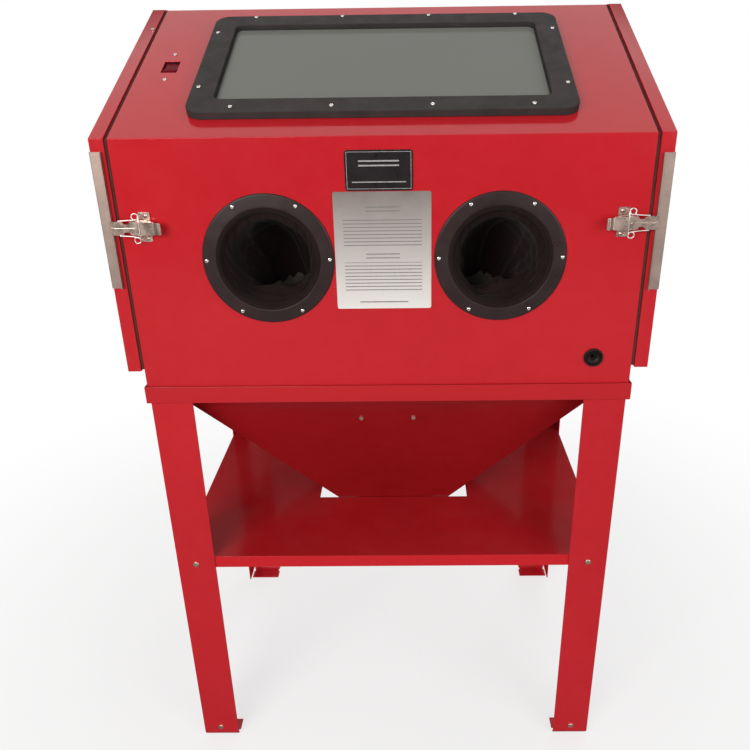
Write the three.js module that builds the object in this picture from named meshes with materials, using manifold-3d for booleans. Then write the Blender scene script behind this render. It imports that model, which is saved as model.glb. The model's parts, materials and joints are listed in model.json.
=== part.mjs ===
// Sandblast cabinet: a sheet-steel blasting chamber with a sloped window, two gloved arm ports
// and a side door at each end, on a media hopper and a four-legged stand.
// Millimetres, +Z up, front towards -Y, left towards -X. The origin is on the floor under the
// middle of the overall footprint; the pieces are laid out from the middle of the chamber.
import * as THREE from "three";
import { mergeVertices } from "three/addons/utils/BufferGeometryUtils.js";
import Module from "manifold-3d";

const wasm = await Module();
wasm.setup();

// ---------- shared dimensions ----------
const ORIGIN_Y = 8.1; // how far the origin lies behind the chamber's middle
const GAP = 0.3; // running gap between neighbours
const WIDE_GAP = 0.4; // looser gap: leg tops, shelf ends, lamp, baffle
const SHEET = 2; // chamber, hopper, shelf and door sheet
const OVERCUT = 5; // how far a cutting solid runs past what it cuts

const HALF_W = 800 / 2; // chamber
const HALF_D = 550 / 2;
const RIM_TOP = 806.6; // hopper rim that wraps the chamber's foot
const RIM_BOTTOM = 776.6;
const BODY_BOTTOM = RIM_BOTTOM + SHEET + GAP;
const FRONT_TOP = 1202; // front edge of the sloped window panel
const TOP = 1384;
const SLOPE_RUN = 389; // depth of the sloped panel in plan
const FRONT = -HALF_D - GAP; // where parts fixed to the front panel start
const REAR = HALF_D + GAP;
const INSIDE = HALF_D - SHEET - GAP; // where parts on the inner front or rear face start

const DOOR_BOTTOM = 834;
const DOORWAY_MARGIN = 38;
const PORT_X = 179;
const PORT_Z = 1020;
const PORT_R = 76; // hole in the front panel
const GROMMET_X = 336.5;
const GROMMET_Z = 852;
const EXHAUST_X = 205;
const EXHAUST_Z = 1290;
const GLAND_X = -300;
const GLAND_Z = 1330;

// on the sloped panel: x along it, y up the slope from its front edge
const WINDOW = [0, 211]; // middle of the opening
const VIEW_HALF_W = 257;
const VIEW_HALF_H = 124.3;
const SWITCH_X = -350.2;
const SWITCH_Y = 215;

// ---------- materials ----------
const material = (settings) => new THREE.MeshStandardMaterial(settings);
const red = material({ color: 0xc4202b, roughness: 0.28, metalness: 0.1 });
const steel = material({ color: 0xb9b4ad, roughness: 0.35, metalness: 0.9 });
const galvanised = material({ color: 0xa8a59f, roughness: 0.5, metalness: 0.8 });
const black = material({ color: 0x1d1c1c, roughness: 0.5, metalness: 0.1 });
const rubber = material({ color: 0x161616, roughness: 0.85, metalness: 0 });
const fabric = material({ color: 0x181818, roughness: 0.9, metalness: 0 });
const glass = material({ color: 0x76776f, roughness: 0.12, metalness: 0 });
const labelDark = material({ color: 0x1b1b1d, roughness: 0.4, metalness: 0 });
const labelPale = material({ color: 0xb9b3ab, roughness: 0.5, metalness: 0 });
const rockerRed = material({ color: 0x7c1218, roughness: 0.35, metalness: 0 });
const cast = material({ color: 0x8d9095, roughness: 0.45, metalness: 0.8 });
const diffuser = material({ color: 0xe9e8e2, roughness: 0.4, metalness: 0 });

// ---------- solids: three.js geometry in, manifold solid out ----------
function solid(geometry) {
  const loose = geometry.index ? geometry.toNonIndexed() : geometry;
  const bare = new THREE.BufferGeometry().setAttribute("position", loose.getAttribute("position"));
  const welded = mergeVertices(bare, 1e-4);
  const positions = welded.attributes.position.array;
  const triangles = [];
  let volume = 0;
  const corners = [new THREE.Vector3(), new THREE.Vector3(), new THREE.Vector3()];
  for (let i = 0; i < welded.index.count; i += 3) {
    const ids = [...welded.index.array.slice(i, i + 3)];
    if (new Set(ids).size < 3) continue; // collapsed by the weld
    triangles.push(ids);
    ids.forEach((id, k) => corners[k].fromArray(positions, id * 3));
    volume += corners[0].dot(corners[1].cross(corners[2]));
  }
  // a negative volume means the faces point inwards
  if (volume < 0) triangles.forEach((ids) => ids.reverse());
  return new wasm.Manifold(
    new wasm.Mesh({
      numProp: 3,
      vertProperties: new Float32Array(positions),
      triVerts: new Uint32Array(triangles.flat()),
    }),
  );
}
const join = (...parts) => parts.reduce((sum, part) => sum.add(part));
const cut = (base, ...tools) => tools.reduce((rest, tool) => rest.subtract(tool), base);

function geometryOf(made) {
  const mesh = made.getMesh();
  const positions = new Float32Array(mesh.numVert * 3);
  for (let i = 0; i < mesh.numVert; i++) {
    const start = i * mesh.numProp;
    positions.set(mesh.vertProperties.subarray(start, start + 3), i * 3);
  }
  return new THREE.BufferGeometry()
    .setAttribute("position", new THREE.BufferAttribute(positions, 3))
    .setIndex(new THREE.BufferAttribute(new Uint32Array(mesh.triVerts), 1));
}
const transformed = (made, matrix) => solid(geometryOf(made).applyMatrix4(matrix));
const mirrorX = (made) => transformed(made, new THREE.Matrix4().makeScale(-1, 1, 1));
const mirrorY = (made) => transformed(made, new THREE.Matrix4().makeScale(1, -1, 1));

// a box from its two corners
function box(x0, x1, y0, y1, z0, z1) {
  const geometry = new THREE.BoxGeometry(x1 - x0, y1 - y0, z1 - z0);
  return solid(geometry.translate((x0 + x1) / 2, (y0 + y1) / 2, (z0 + z1) / 2));
}
// a box centred on x = y = 0
const midBox = (halfX, halfY, z0, z1) => box(-halfX, halfX, -halfY, halfY, z0, z1);

const axisX = new THREE.Vector3(1, 0, 0);
const axisY = new THREE.Vector3(0, 1, 0);
const axisZ = new THREE.Vector3(0, 0, 1);
const shapeOf = (points) => new THREE.Shape(points.map(([x, y]) => new THREE.Vector2(x, y)));
const extruded = (points, depth) =>
  new THREE.ExtrudeGeometry(shapeOf(points), { depth, bevelEnabled: false });
// an outline in the YZ plane, run along X
function alongX(points, x0, x1) {
  const turn = new THREE.Matrix4().makeBasis(axisY, axisZ, axisX);
  return solid(extruded(points, x1 - x0).applyMatrix4(turn).translate(x0, 0, 0));
}
// an outline in the XZ plane, run along Y
function alongY(points, y0, y1) {
  const turn = new THREE.Matrix4().makeBasis(axisX, axisZ, axisY.clone().negate());
  return solid(extruded(points, y1 - y0).applyMatrix4(turn).translate(0, y1, 0));
}
// an outline in the XY plane, run along Z
const alongZ = (points, z0, z1) => solid(extruded(points, z1 - z0).translate(0, 0, z0));

// a cylinder along an axis, from one end point for a length
function rod(axis, x, y, z, radius, length, sides) {
  const geometry = new THREE.CylinderGeometry(radius, radius, length, sides);
  if (axis === "x") geometry.rotateZ(-Math.PI / 2).translate(x + length / 2, y, z);
  if (axis === "y") geometry.translate(x, y + length / 2, z);
  if (axis === "z") geometry.rotateX(Math.PI / 2).translate(x, y, z + length / 2);
  return solid(geometry);
}
// a turned profile of [radius, distance along the axis], about X or Y through a point
function turned(axis, x, y, z, profile, sides) {
  const points = profile.map(([radius, height]) => new THREE.Vector2(radius, height));
  const geometry = new THREE.LatheGeometry(points, sides);
  if (axis === "x") geometry.rotateZ(-Math.PI / 2);
  return solid(geometry.translate(x, y, z));
}
// equal angles round a full turn
const turnAngles = (count) => Array.from({ length: count }, (_, i) => (i / count) * Math.PI * 2);
// a round bar or hose along a smooth path
function bar(points, radius, steps, sides) {
  const stations = points.map((point) => new THREE.Vector3(...point));
  const extrudePath = new THREE.CatmullRomCurve3(stations, false, "catmullrom");
  const section = shapeOf(turnAngles(sides).map((a) => [radius * Math.cos(a), radius * Math.sin(a)]));
  return solid(new THREE.ExtrudeGeometry(section, { steps, bevelEnabled: false, extrudePath }));
}
// skin through a list of rings, each ring a list of points; both ends capped
function loft(rings) {
  const count = rings[0].length;
  const first = rings[0], last = rings.at(-1);
  const middle = (ring) => ring.reduce((sum, p) => sum.map((c, i) => c + p[i] / count), [0, 0, 0]);
  const firstMiddle = middle(first), lastMiddle = middle(last);
  const corners = [];
  for (let i = 0; i < count; i++) {
    const j = (i + 1) % count;
    for (let k = 0; k + 1 < rings.length; k++) {
      const ring = rings[k], next = rings[k + 1];
      corners.push(ring[i], ring[j], next[j], ring[i], next[j], next[i]);
    }
    corners.push(firstMiddle, first[j], first[i], lastMiddle, last[i], last[j]);
  }
  const positions = new THREE.Float32BufferAttribute(corners.flat(), 3);
  return solid(new THREE.BufferGeometry().setAttribute("position", positions));
}

// ---------- outlines ----------
const shift = (points, dx, dy) => points.map(([x, y]) => [x + dx, y + dy]);
// angles in degrees
const arc = (centreX, centreY, radius, from, to, steps) =>
  Array.from({ length: steps + 1 }, (_, i) => {
    const angle = ((from + ((to - from) * i) / steps) * Math.PI) / 180;
    return [centreX + radius * Math.cos(angle), centreY + radius * Math.sin(angle)];
  });
function roundRect([x, y], halfX, halfY, radius, steps = 6) {
  const right = halfX - radius, top = halfY - radius;
  const corners = [[right, top], [-right, top], [-right, -top], [right, -top]];
  return corners.flatMap(([cornerX, cornerY], i) =>
    arc(x + cornerX, y + cornerY, radius, 90 * i, 90 * (i + 1), steps));
}
// a convex outline moved inwards by a distance (outwards when it is negative)
function inset(points, distance) {
  const count = points.length;
  const nextOf = (i) => points[(i + 1) % count];
  const area = points.reduce((sum, [x, y], i) => sum + x * nextOf(i)[1] - nextOf(i)[0] * y, 0);
  const move = Math.sign(area) * distance;
  const edges = points.map(([x, y], i) => {
    const [nextX, nextY] = nextOf(i);
    const length = Math.hypot(nextX - x, nextY - y);
    const dirX = (nextX - x) / length, dirY = (nextY - y) / length;
    return { x: x - dirY * move, y: y + dirX * move, dirX, dirY };
  });
  // each corner is where a moved edge meets the one before it
  return edges.map((edge, i) => {
    const before = edges[(i + count - 1) % count];
    const cross = before.dirX * edge.dirY - before.dirY * edge.dirX;
    const along = ((edge.x - before.x) * edge.dirY - (edge.y - before.y) * edge.dirX) / cross;
    return [before.x + along * before.dirX, before.y + along * before.dirY];
  });
}

// ---------- the scene graph ----------
const root = new THREE.Group();
root.name = "sandblast_cabinet";
root.position.set(0, -ORIGIN_Y, 0);
const level = new THREE.Group(); // everything measured straight from the floor
root.add(level);
// the sloped window panel's own frame: x along the panel, y up the slope, z out of it
const slope = new THREE.Group();
slope.position.set(0, -HALF_D, FRONT_TOP);
slope.rotation.set(Math.atan2(TOP - FRONT_TOP, SLOPE_RUN), 0, 0);
slope.updateMatrix();
root.add(slope);

function piece(name, made, finish, group = level) {
  const geometry = geometryOf(made);
  geometry.computeVertexNormals();
  const mesh = new THREE.Mesh(geometry, finish);
  mesh.name = name;
  group.add(mesh);
  return mesh;
}
// a left-hand solid and its mirror image
function bothSides(name, made, finish) {
  piece("left_" + name, made, finish);
  piece("right_" + name, mirrorX(made), finish);
}
// a solid written in the slope's frame, moved into the floor's frame
const fromSlope = (made) => transformed(made, slope.matrix);

// ---------- chamber ----------
const sideOutline = (bottom) => [
  [-HALF_D, bottom],
  [HALF_D, bottom],
  [HALF_D, TOP],
  [-HALF_D + SLOPE_RUN, TOP],
  [-HALF_D, FRONT_TOP],
];
// cutter for a round hole through the wall at y
const wallHole = (x, y, z, radius, sides) =>
  rod("y", x, y - OVERCUT, z, radius, 2 * OVERCUT, sides);
{
  const side = sideOutline(BODY_BOTTOM);
  const doorway = inset(sideOutline(DOOR_BOTTOM), DOORWAY_MARGIN);
  const windowHole = roundRect(WINDOW, VIEW_HALF_W + 4, VIEW_HALF_H + 4, 12);
  piece(
    "cabinet_shell",
    cut(
      alongX(side, -HALF_W, HALF_W),
      alongX(inset(side, SHEET), -HALF_W + SHEET, HALF_W - SHEET),
      midBox(HALF_W - 28, HALF_D - 28, BODY_BOTTOM - OVERCUT, BODY_BOTTOM + OVERCUT),
      alongX(doorway, -HALF_W - OVERCUT, -HALF_W + OVERCUT),
      alongX(doorway, HALF_W - OVERCUT, HALF_W + OVERCUT),
      wallHole(-PORT_X, -HALF_D, PORT_Z, PORT_R, 40),
      wallHole(PORT_X, -HALF_D, PORT_Z, PORT_R, 40),
      wallHole(GROMMET_X, -HALF_D, GROMMET_Z, 12.6, 20),
      wallHole(EXHAUST_X, HALF_D, EXHAUST_Z, 32, 28),
      wallHole(GLAND_X, HALF_D, GLAND_Z, 8.4, 16),
      fromSlope(alongZ(windowHole, -6, 4)),
      fromSlope(box(SWITCH_X - 12.6, SWITCH_X + 12.6, SWITCH_Y - 19, SWITCH_Y + 19, -6, 4)),
    ),
    red,
  );
}

// ---------- hopper ----------
const OUTLET_X = 72; // half sizes of the outlet neck
const OUTLET_Y = 43;
const OUTLET_Z = 400; // where the slopes meet the neck
const OUTLET_BOTTOM = 386;
const OUTLET_WALL = 2.6; // sloped wall, measured level, and the neck's wall
const FLANGE_X = 92;
const FLANGE_Y = 63;
{
  const rimX = HALF_W + 4, rimY = HALF_D + 4;
  // rim, sloped funnel and neck, thinner all round by the given walls
  const hopperForm = (sheet, wall, rimTop, neckBottom) => {
    const rect = (halfX, halfY, z) =>
      [[-1, -1], [1, -1], [1, 1], [-1, 1]].map(([x, y]) => [x * (halfX - wall), y * (halfY - wall), z]);
    return join(
      midBox(rimX - sheet, rimY - sheet, RIM_BOTTOM + sheet, rimTop),
      loft([rect(OUTLET_X, OUTLET_Y, OUTLET_Z), rect(360, 250, RIM_BOTTOM + sheet + 0.5)]),
      midBox(OUTLET_X - wall, OUTLET_Y - wall, neckBottom, OUTLET_Z + 0.5),
    );
  };
  const flange = midBox(FLANGE_X, FLANGE_Y, OUTLET_BOTTOM, OUTLET_BOTTOM + SHEET);
  const outer = join(hopperForm(0, 0, RIM_TOP, OUTLET_BOTTOM), flange);
  piece("hopper", cut(outer, hopperForm(SHEET, OUTLET_WALL, RIM_TOP + OVERCUT, 380)), red);
}

// slide gate under the outlet
piece(
  "gate_frame",
  cut(
    midBox(FLANGE_X, FLANGE_Y, 377, OUTLET_BOTTOM - GAP),
    midBox(OUTLET_X - OUTLET_WALL, OUTLET_Y - OUTLET_WALL, 370, 390),
    box(-82, 82, -70, 56, 379.6, 383),
  ),
  galvanised,
);
piece(
  "hopper_slide_gate",
  join(box(-81, 81, -84, 55, 380.2, 382.4), box(-34, 34, -86, -84, 362, 382.4)),
  galvanised,
);

// ---------- legs and shelf ----------
const LEG_FLANGE = 70;
const LEG_T = 2.5;
const LEG_X = 397.5;
const LEG_Y = 276;
const LEG_TOP = RIM_BOTTOM - WIDE_GAP;
const FOOT_DEPTH = 42;
const FOOT_BEND = 14; // outer radius of the bend
{
  const bendY = -LEG_Y + FOOT_BEND;
  // front flange, bent back at the floor into a foot
  const frontFlange = alongX(
    [
      [-LEG_Y, LEG_TOP],
      ...arc(bendY, FOOT_BEND, FOOT_BEND, 180, 270, 6),
      [-LEG_Y + FOOT_DEPTH, 0],
      [-LEG_Y + FOOT_DEPTH, LEG_T],
      ...arc(bendY, FOOT_BEND, FOOT_BEND - LEG_T, 270, 180, 6),
      [-LEG_Y + LEG_T, LEG_TOP],
    ],
    -LEG_X,
    -LEG_X + LEG_FLANGE,
  );
  const sideFlange = alongX(
    [
      [-LEG_Y, LEG_TOP],
      [-LEG_Y, 22],
      [-LEG_Y + 8, 16],
      [-LEG_Y + LEG_FLANGE, 16],
      [-LEG_Y + LEG_FLANGE, LEG_TOP],
    ],
    -LEG_X,
    -LEG_X + LEG_T,
  );
  // clips a lower corner of the front flange
  const clip = (x, inward) =>
    alongY([[x, -1], [x + inward * 6, -1], [x, 5]], -LEG_Y - OVERCUT, bendY + 2);
  const leg = cut(join(frontFlange, sideFlange), clip(-LEG_X, 1), clip(-LEG_X + LEG_FLANGE, -1));
  piece("leg_front_left", leg, red);
  piece("leg_front_right", mirrorX(leg), red);
  piece("leg_rear_left", mirrorY(leg), red);
  piece("leg_rear_right", mirrorX(mirrorY(leg)), red);
}
{
  const halfX = LEG_X - LEG_T - WIDE_GAP, halfY = LEG_Y - LEG_T - GAP;
  const top = 458, bottom = top - 24.5;
  piece(
    "lower_shelf",
    cut(
      midBox(halfX, halfY, bottom, top),
      midBox(halfX - SHEET, halfY - SHEET, bottom - OVERCUT, top - SHEET),
      box(-153, 153, -76, 112, top - 10, top + OVERCUT),
    ),
    red,
  );
}

// ---------- side doors ----------
const DOOR_INNER = 405; // distance of the door's inner flange from the middle
const DOOR_OUTER = 426.6;
const DOOR_LIP = 1.2; // how far the door's outline stands outside the chamber's
const DOOR_RETURN = 24; // width of the flange that carries the seal
const doorSide = inset(sideOutline(DOOR_BOTTOM + DOOR_LIP), -DOOR_LIP);
bothSides(
  "door",
  cut(
    alongX(doorSide, -DOOR_OUTER, -DOOR_INNER),
    alongX(inset(doorSide, SHEET), -DOOR_OUTER + SHEET, -DOOR_INNER - SHEET),
    alongX(inset(doorSide, DOOR_RETURN), -DOOR_INNER - SHEET - 1, -DOOR_INNER + OVERCUT),
  ),
  red,
);
bothSides(
  "door_seal",
  cut(
    alongX(inset(doorSide, 2.6), -DOOR_INNER + GAP, -HALF_W - 0.6),
    alongX(inset(doorSide, 20), -DOOR_INNER - OVERCUT, -HALF_W + OVERCUT),
  ),
  rubber,
);

// catch strip round the front edge of the door, at the latch
function doorStrip(drop) {
  const innerX = -DOOR_OUTER - GAP, outerX = innerX - 1.2;
  const doorFront = -HALF_D - DOOR_LIP;
  const backY = doorFront - GAP, frontY = backY - 1.3;
  const bottom = 977 - drop, top = 1184 - drop;
  return join(
    box(outerX, -411, frontY, backY, bottom, top),
    box(outerX, innerX, frontY, doorFront + 16, bottom, top),
  );
}
piece("left_door_strip", doorStrip(0), steel);
piece("right_door_strip", mirrorX(doorStrip(10)), steel); // fixed a little lower

// butt hinges on the back: one leaf and the pin on the chamber, the other on the door's rear edge
const HINGE_X = 402;
const HINGE_Y = 281.2;
const HINGE_H = 80;
const HINGE_LEAF = 2;
const KNUCKLE_R = 4.4;
const PIN_R = 2.1;
for (const [label, z] of [["lower", 930], ["upper", 1275]]) {
  const bottom = z - HINGE_H / 2, top = z + HINGE_H / 2;
  const lowEnd = bottom + 22, highStart = top - 22; // the chamber leaf's two knuckles
  const doorLow = lowEnd + 0.6, doorHigh = highStart - 0.6; // the door leaf's knuckle
  const upright = (radius, z0, z1, sides) =>
    rod("z", -HINGE_X, HINGE_Y, z0, radius, z1 - z0, sides);
  const frameLeaf = (x0, x1, z0, z1) => box(x0, x1, REAR, REAR + HINGE_LEAF, z0, z1);
  const doorRear = REAR + DOOR_LIP;
  const doorLeaf = (x0, x1, z0, z1) => box(x0, x1, doorRear, doorRear + HINGE_LEAF, z0, z1);
  bothSides(
    `door_hinge_${label}_frame_leaf`,
    join(
      frameLeaf(-HINGE_X + 6, -368, bottom, top),
      frameLeaf(-HINGE_X, -HINGE_X + 7, bottom, lowEnd),
      frameLeaf(-HINGE_X, -HINGE_X + 7, highStart, top),
      upright(KNUCKLE_R, bottom, lowEnd, 12),
      upright(KNUCKLE_R, highStart, top, 12),
      upright(PIN_R, bottom - 2, top + 2, 8),
      upright(3.4, top - 1, top + 3, 8), // pin head
    ),
    steel,
  );
  bothSides(
    `door_hinge_${label}_door_leaf`,
    cut(
      join(
        doorLeaf(-425, -HINGE_X - 6, bottom, top),
        doorLeaf(-HINGE_X - 7, -HINGE_X, doorLow, doorHigh),
        upright(KNUCKLE_R, doorLow, doorHigh, 12),
      ),
      upright(PIN_R + 0.4, bottom, top, 8),
    ),
    steel,
  );
}

// ---------- draw latches ----------
const LATCH_Z = 1073;
const PIVOT_X = -365; // the lever turns on the base here
const PIVOT_Y = -282.5;
const CLAW_X = -355; // the claw's pin in the lever
const CLAW_Y = -284.5;
const latchRod = (x, y, radius, halfLength, sides) =>
  rod("z", x, y, LATCH_Z - halfLength, radius, 2 * halfLength, sides);
{
  const ear = [
    [PIVOT_X - 2, FRONT - 1],
    ...shift([[-2, -1.5], [-1.5, -3.2], [1.5, -3.2], [4, -1.5]], PIVOT_X, PIVOT_Y),
    [PIVOT_X + 4, FRONT - 1],
  ];
  bothSides(
    "latch_base",
    join(
      box(PIVOT_X - 2, PIVOT_X + 16.5, FRONT - 1.4, FRONT, LATCH_Z - 22.5, LATCH_Z + 22.5),
      alongZ(ear, LATCH_Z - 7.6, LATCH_Z - 6.2),
      alongZ(ear, LATCH_Z + 6.2, LATCH_Z + 7.6),
      latchRod(PIVOT_X, PIVOT_Y, 1.4, 11.4, 12),
    ),
    steel,
  );
}
{
  const cheek = [
    ...shift([[-2.8, 2.6], [-3.4, -2], [-1, -6.4], [21, -6.4]], PIVOT_X, PIVOT_Y),
    ...shift([[4, 2.6], [0, 3.4]], CLAW_X, CLAW_Y),
  ];
  // handle plate seen from above: x, y from the pivot
  const handle = [
    [-1, -6.4], [-1, -5], [20, -5], [25, -7.4], [28.9, -6.2],
    [30.9, -8.6], [29.5, -10.6], [25, -9.4], [20, -6.4],
  ];
  bothSides(
    "latch_lever",
    cut(
      join(
        alongZ(cheek, LATCH_Z - 10, LATCH_Z - 8.6),
        alongZ(cheek, LATCH_Z + 8.6, LATCH_Z + 10),
        alongZ(shift(handle, PIVOT_X, PIVOT_Y), LATCH_Z - 10, LATCH_Z + 10),
      ),
      latchRod(PIVOT_X, PIVOT_Y, 1.75, 12, 12),
      latchRod(CLAW_X, CLAW_Y, 1.45, 12, 12),
    ),
    steel,
  );
}
// spring claw: a ribbed plate on two wire arms, each with one coil, on its own pin in the lever
{
  const WIRE_R = 0.9;
  // one arm, above (side 1) or below (side -1) the latch's middle
  const armWire = (side) => {
    const coil = new THREE.TorusGeometry(4.4, WIRE_R, 5, 12).rotateX(Math.PI / 2);
    const z = (distance) => LATCH_Z + side * distance;
    const toCoil = [
      [CLAW_X, CLAW_Y, z(11.2)],
      [CLAW_X - 6, CLAW_Y, z(13.2)],
      [PIVOT_X - 2.8, CLAW_Y - 0.2, z(14.6)],
    ];
    const toPlate = [
      [PIVOT_X - 9, CLAW_Y - 0.2, z(14.3)],
      [PIVOT_X - 18, CLAW_Y, z(12.2)],
      [PIVOT_X - 26, CLAW_Y + 0.4, z(10.4)],
    ];
    return join(
      solid(coil.translate(PIVOT_X - 6, CLAW_Y - 0.2, z(17.4))),
      bar(toCoil, WIRE_R, 2, 5),
      bar(toPlate, WIRE_R, 3, 5),
    );
  };
  // x from the pivot, z from the latch's middle
  const plate = [
    [-46, -10.5], [-22, -10.5], [-16, -8], [-4.6, -8],
    [-4.6, 8], [-16, 8], [-22, 10.5], [-46, 10.5],
  ];
  const rib = [[0, -2], [-1.8, -0.8], [-1.8, 0.8], [0, 2]]; // y, z
  const clampBlock = (z0) =>
    box(PIVOT_X - 26.5, PIVOT_X - 21, CLAW_Y - 0.6, CLAW_Y + 1, LATCH_Z + z0, LATCH_Z + z0 + 1.6);
  const lipX = PIVOT_X - 46;
  bothSides(
    "latch_claw",
    join(
      alongY(shift(plate, PIVOT_X, LATCH_Z), CLAW_Y - 0.4, CLAW_Y + 0.9),
      box(lipX - 1.4, lipX, CLAW_Y - 0.4, CLAW_Y + 3.2, LATCH_Z - 10.5, LATCH_Z + 10.5),
      alongX(shift(rib, CLAW_Y, LATCH_Z), PIVOT_X - 42, PIVOT_X - 10),
      armWire(1),
      armWire(-1),
      latchRod(CLAW_X, CLAW_Y, 1.1, 12.2, 10),
      clampBlock(9.8),
      clampBlock(-11.4),
    ),
    steel,
  );
}

// ---------- window, in the slope's frame ----------
{
  const FRAME_T = 13;
  const FRAME_MIDDLE = [0, 209.8]; // the frame's outline sits a little below the opening
  // an outline that stands outside the visible opening by a margin
  const around = (margin, radius, steps) =>
    roundRect(WINDOW, VIEW_HALF_W + margin, VIEW_HALF_H + margin, radius, steps);
  piece(
    "window_frame",
    cut(
      alongZ(roundRect(FRAME_MIDDLE, 295.5, 161.8, 24), GAP, FRAME_T),
      alongZ(around(0, 12), -2, FRAME_T + 2),
      alongZ(around(20, 10), -2, 4.6), // recess for the glass
    ),
    black,
    slope,
  );
  const gasket = cut(alongZ(around(19, 10), GAP, 0.9), alongZ(around(5, 10), -1, 3));
  piece("window_gasket", gasket, rubber, slope);
  piece("window_glass", alongZ(around(18, 8, 3), 1.2, 4.2), glass, slope);
}

// rocker switch, sunk in the sloped panel
{
  const switchBox = (halfX, halfY, z0, z1) =>
    box(SWITCH_X - halfX, SWITCH_X + halfX, SWITCH_Y - halfY, SWITCH_Y + halfY, z0, z1);
  const housing = cut(
    join(switchBox(15, 52, -4.3, -2.3), switchBox(15, 24, -36, -2.3)),
    switchBox(11.6, 18, -24, 2),
  );
  piece("switch_housing", housing, black, slope);

  // tilted about its own axis under the panel
  const PIVOT_DEPTH = 8;
  const pivot = new THREE.Group();
  pivot.position.set(SWITCH_X, SWITCH_Y, -PIVOT_DEPTH);
  pivot.rotation.set((-9 * Math.PI) / 180, 0, 0);
  slope.add(pivot);
  // y up the slope, z out of the panel
  const profile = [
    [-15.6, -1], [-8, -2.6], [0, -3.4], [8, -2.6], [15.6, -1],
    [15, -8], [6, -14], [-6, -14], [-15, -8],
  ];
  const rocker = piece("switch_rocker", alongX(profile, -11, 11), rockerRed, pivot);
  rocker.position.set(0, 0, PIVOT_DEPTH);
}

// ---------- arm ports and gloves ----------
{
  const outer = 101.8, inner = 80.2;
  const profile = [
    [inner, 0], [outer, 0], [outer, -1.8], [outer - 1.2, -3],
    [inner + 4, -3], [inner + 3, -5.2], [inner, -5.2], [inner, 0],
  ];
  for (const [name, x] of [["left", -PORT_X], ["right", PORT_X]])
    piece(name + "_port_ring", turned("y", x, FRONT, PORT_Z, profile, 36), black);
}
// sleeve and hand: rings along a path that enters the port and hangs
{
  // y, drop below the port's middle, shift towards x = 0, radius, tilt in degrees
  const path = [
    [-274.6, 0, 0, 74.6, 0],
    [-240, 1.8, 0, 73, 4],
    [-200, 7.8, 2, 68, 14],
    [-160, 23.8, 5, 61, 30],
    [-126, 51.8, 9, 54, 48],
    [-104, 83.8, 14, 47, 62],
    [-90, 115.8, 19, 42, 72],
    [-80, 143.8, 24, 46, 78],
    [-72, 171.8, 29, 44, 80],
    [-67, 189.8, 32, 26, 82],
  ];
  const ring = ([y, drop, inward, radius, tilt], wall) =>
    turnAngles(16).map((angle) => {
      const lean = (tilt * Math.PI) / 180;
      const flatten = tilt > 65 ? 0.72 : 1; // wrist and hand are flatter than the sleeve
      const across = Math.cos(angle) * (radius - wall);
      const up = Math.sin(angle) * (radius - wall) * flatten;
      const z = PORT_Z - drop + up * Math.cos(lean);
      return [-PORT_X + inward + across, y + up * Math.sin(lean), z];
    });
  const outer = path.map((station) => ring(station, 0));
  // hollow down to the wrist, open at the port
  const hollow = [[-290, 0, 0, 74.6, 0], ...path.slice(0, 7)].map((station) => ring(station, 3));
  bothSides("glove", cut(loft(outer), loft(hollow)), fabric);
}

// ---------- more on the front: air inlet, lower right, and labels ----------
// profiles: radius, y from the front panel's outer face
const grommetProfile = [
  [6.2, -4.6], [12, -4.6], [15.6, -3.2], [15.6, -0.4], [12.2, -0.4],
  [12.2, 2.4], [15, 2.4], [15, 4.4], [6.2, 4.4], [6.2, -4.6],
];
const couplerProfile = [
  [3.5, 5], [8.5, 5], [8.5, 12], [11, 13], [11, 24], [8.5, 25], [8.5, 32], [3.5, 32], [3.5, 5],
];
const atGrommet = (profile, sides) => turned("y", GROMMET_X, -HALF_D, GROMMET_Z, profile, sides);
piece("hose_grommet", atGrommet(grommetProfile, 18), rubber);
piece("air_inlet_coupler", atGrommet(couplerProfile, 12), cast);

const labelPlate = (outline) => alongY(outline, FRONT - 0.8, FRONT);
piece("label_plate_upper", labelPlate(roundRect([-5.2, 1153], 50.5, 29.5, 5, 3)), labelDark);
piece("label_plate_lower", labelPlate(roundRect([-1.6, 1031], 74, 91.5, 3, 3)), labelPale);

// ---------- work grate on its two rails ----------
{
  const GRATE_Z = 800;
  const RAIL_T = 2;
  const railTop = GRATE_Z - GAP;
  const railProfile = [
    [-INSIDE, 782],
    [-INSIDE + RAIL_T, 782],
    [-INSIDE + RAIL_T, railTop - RAIL_T],
    [-HALF_D + 30, railTop - RAIL_T],
    [-HALF_D + 30, railTop],
    [-INSIDE, railTop],
  ];
  const rail = alongX(railProfile, -392, 392);
  piece("grate_rail_front", rail, galvanised);
  piece("grate_rail_rear", mirrorY(rail), galvanised);

  const PITCH = 64, HALF_HOLE = 25;
  const COLUMNS = 11, ROWS = 8;
  const holes = [];
  for (let i = 0; i < COLUMNS; i++)
    for (let j = 0; j < ROWS; j++) {
      const x = (i - (COLUMNS - 1) / 2) * PITCH, y = (j - (ROWS - 1) / 2) * PITCH;
      const [x0, x1, y0, y1] = [x - HALF_HOLE, x + HALF_HOLE, y - HALF_HOLE, y + HALF_HOLE];
      holes.push(box(x0, x1, y0, y1, GRATE_Z - OVERCUT, GRATE_Z + 8));
    }
  piece("work_grate", cut(midBox(394, 270, GRATE_Z, GRATE_Z + 3), ...holes), galvanised);
}

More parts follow.
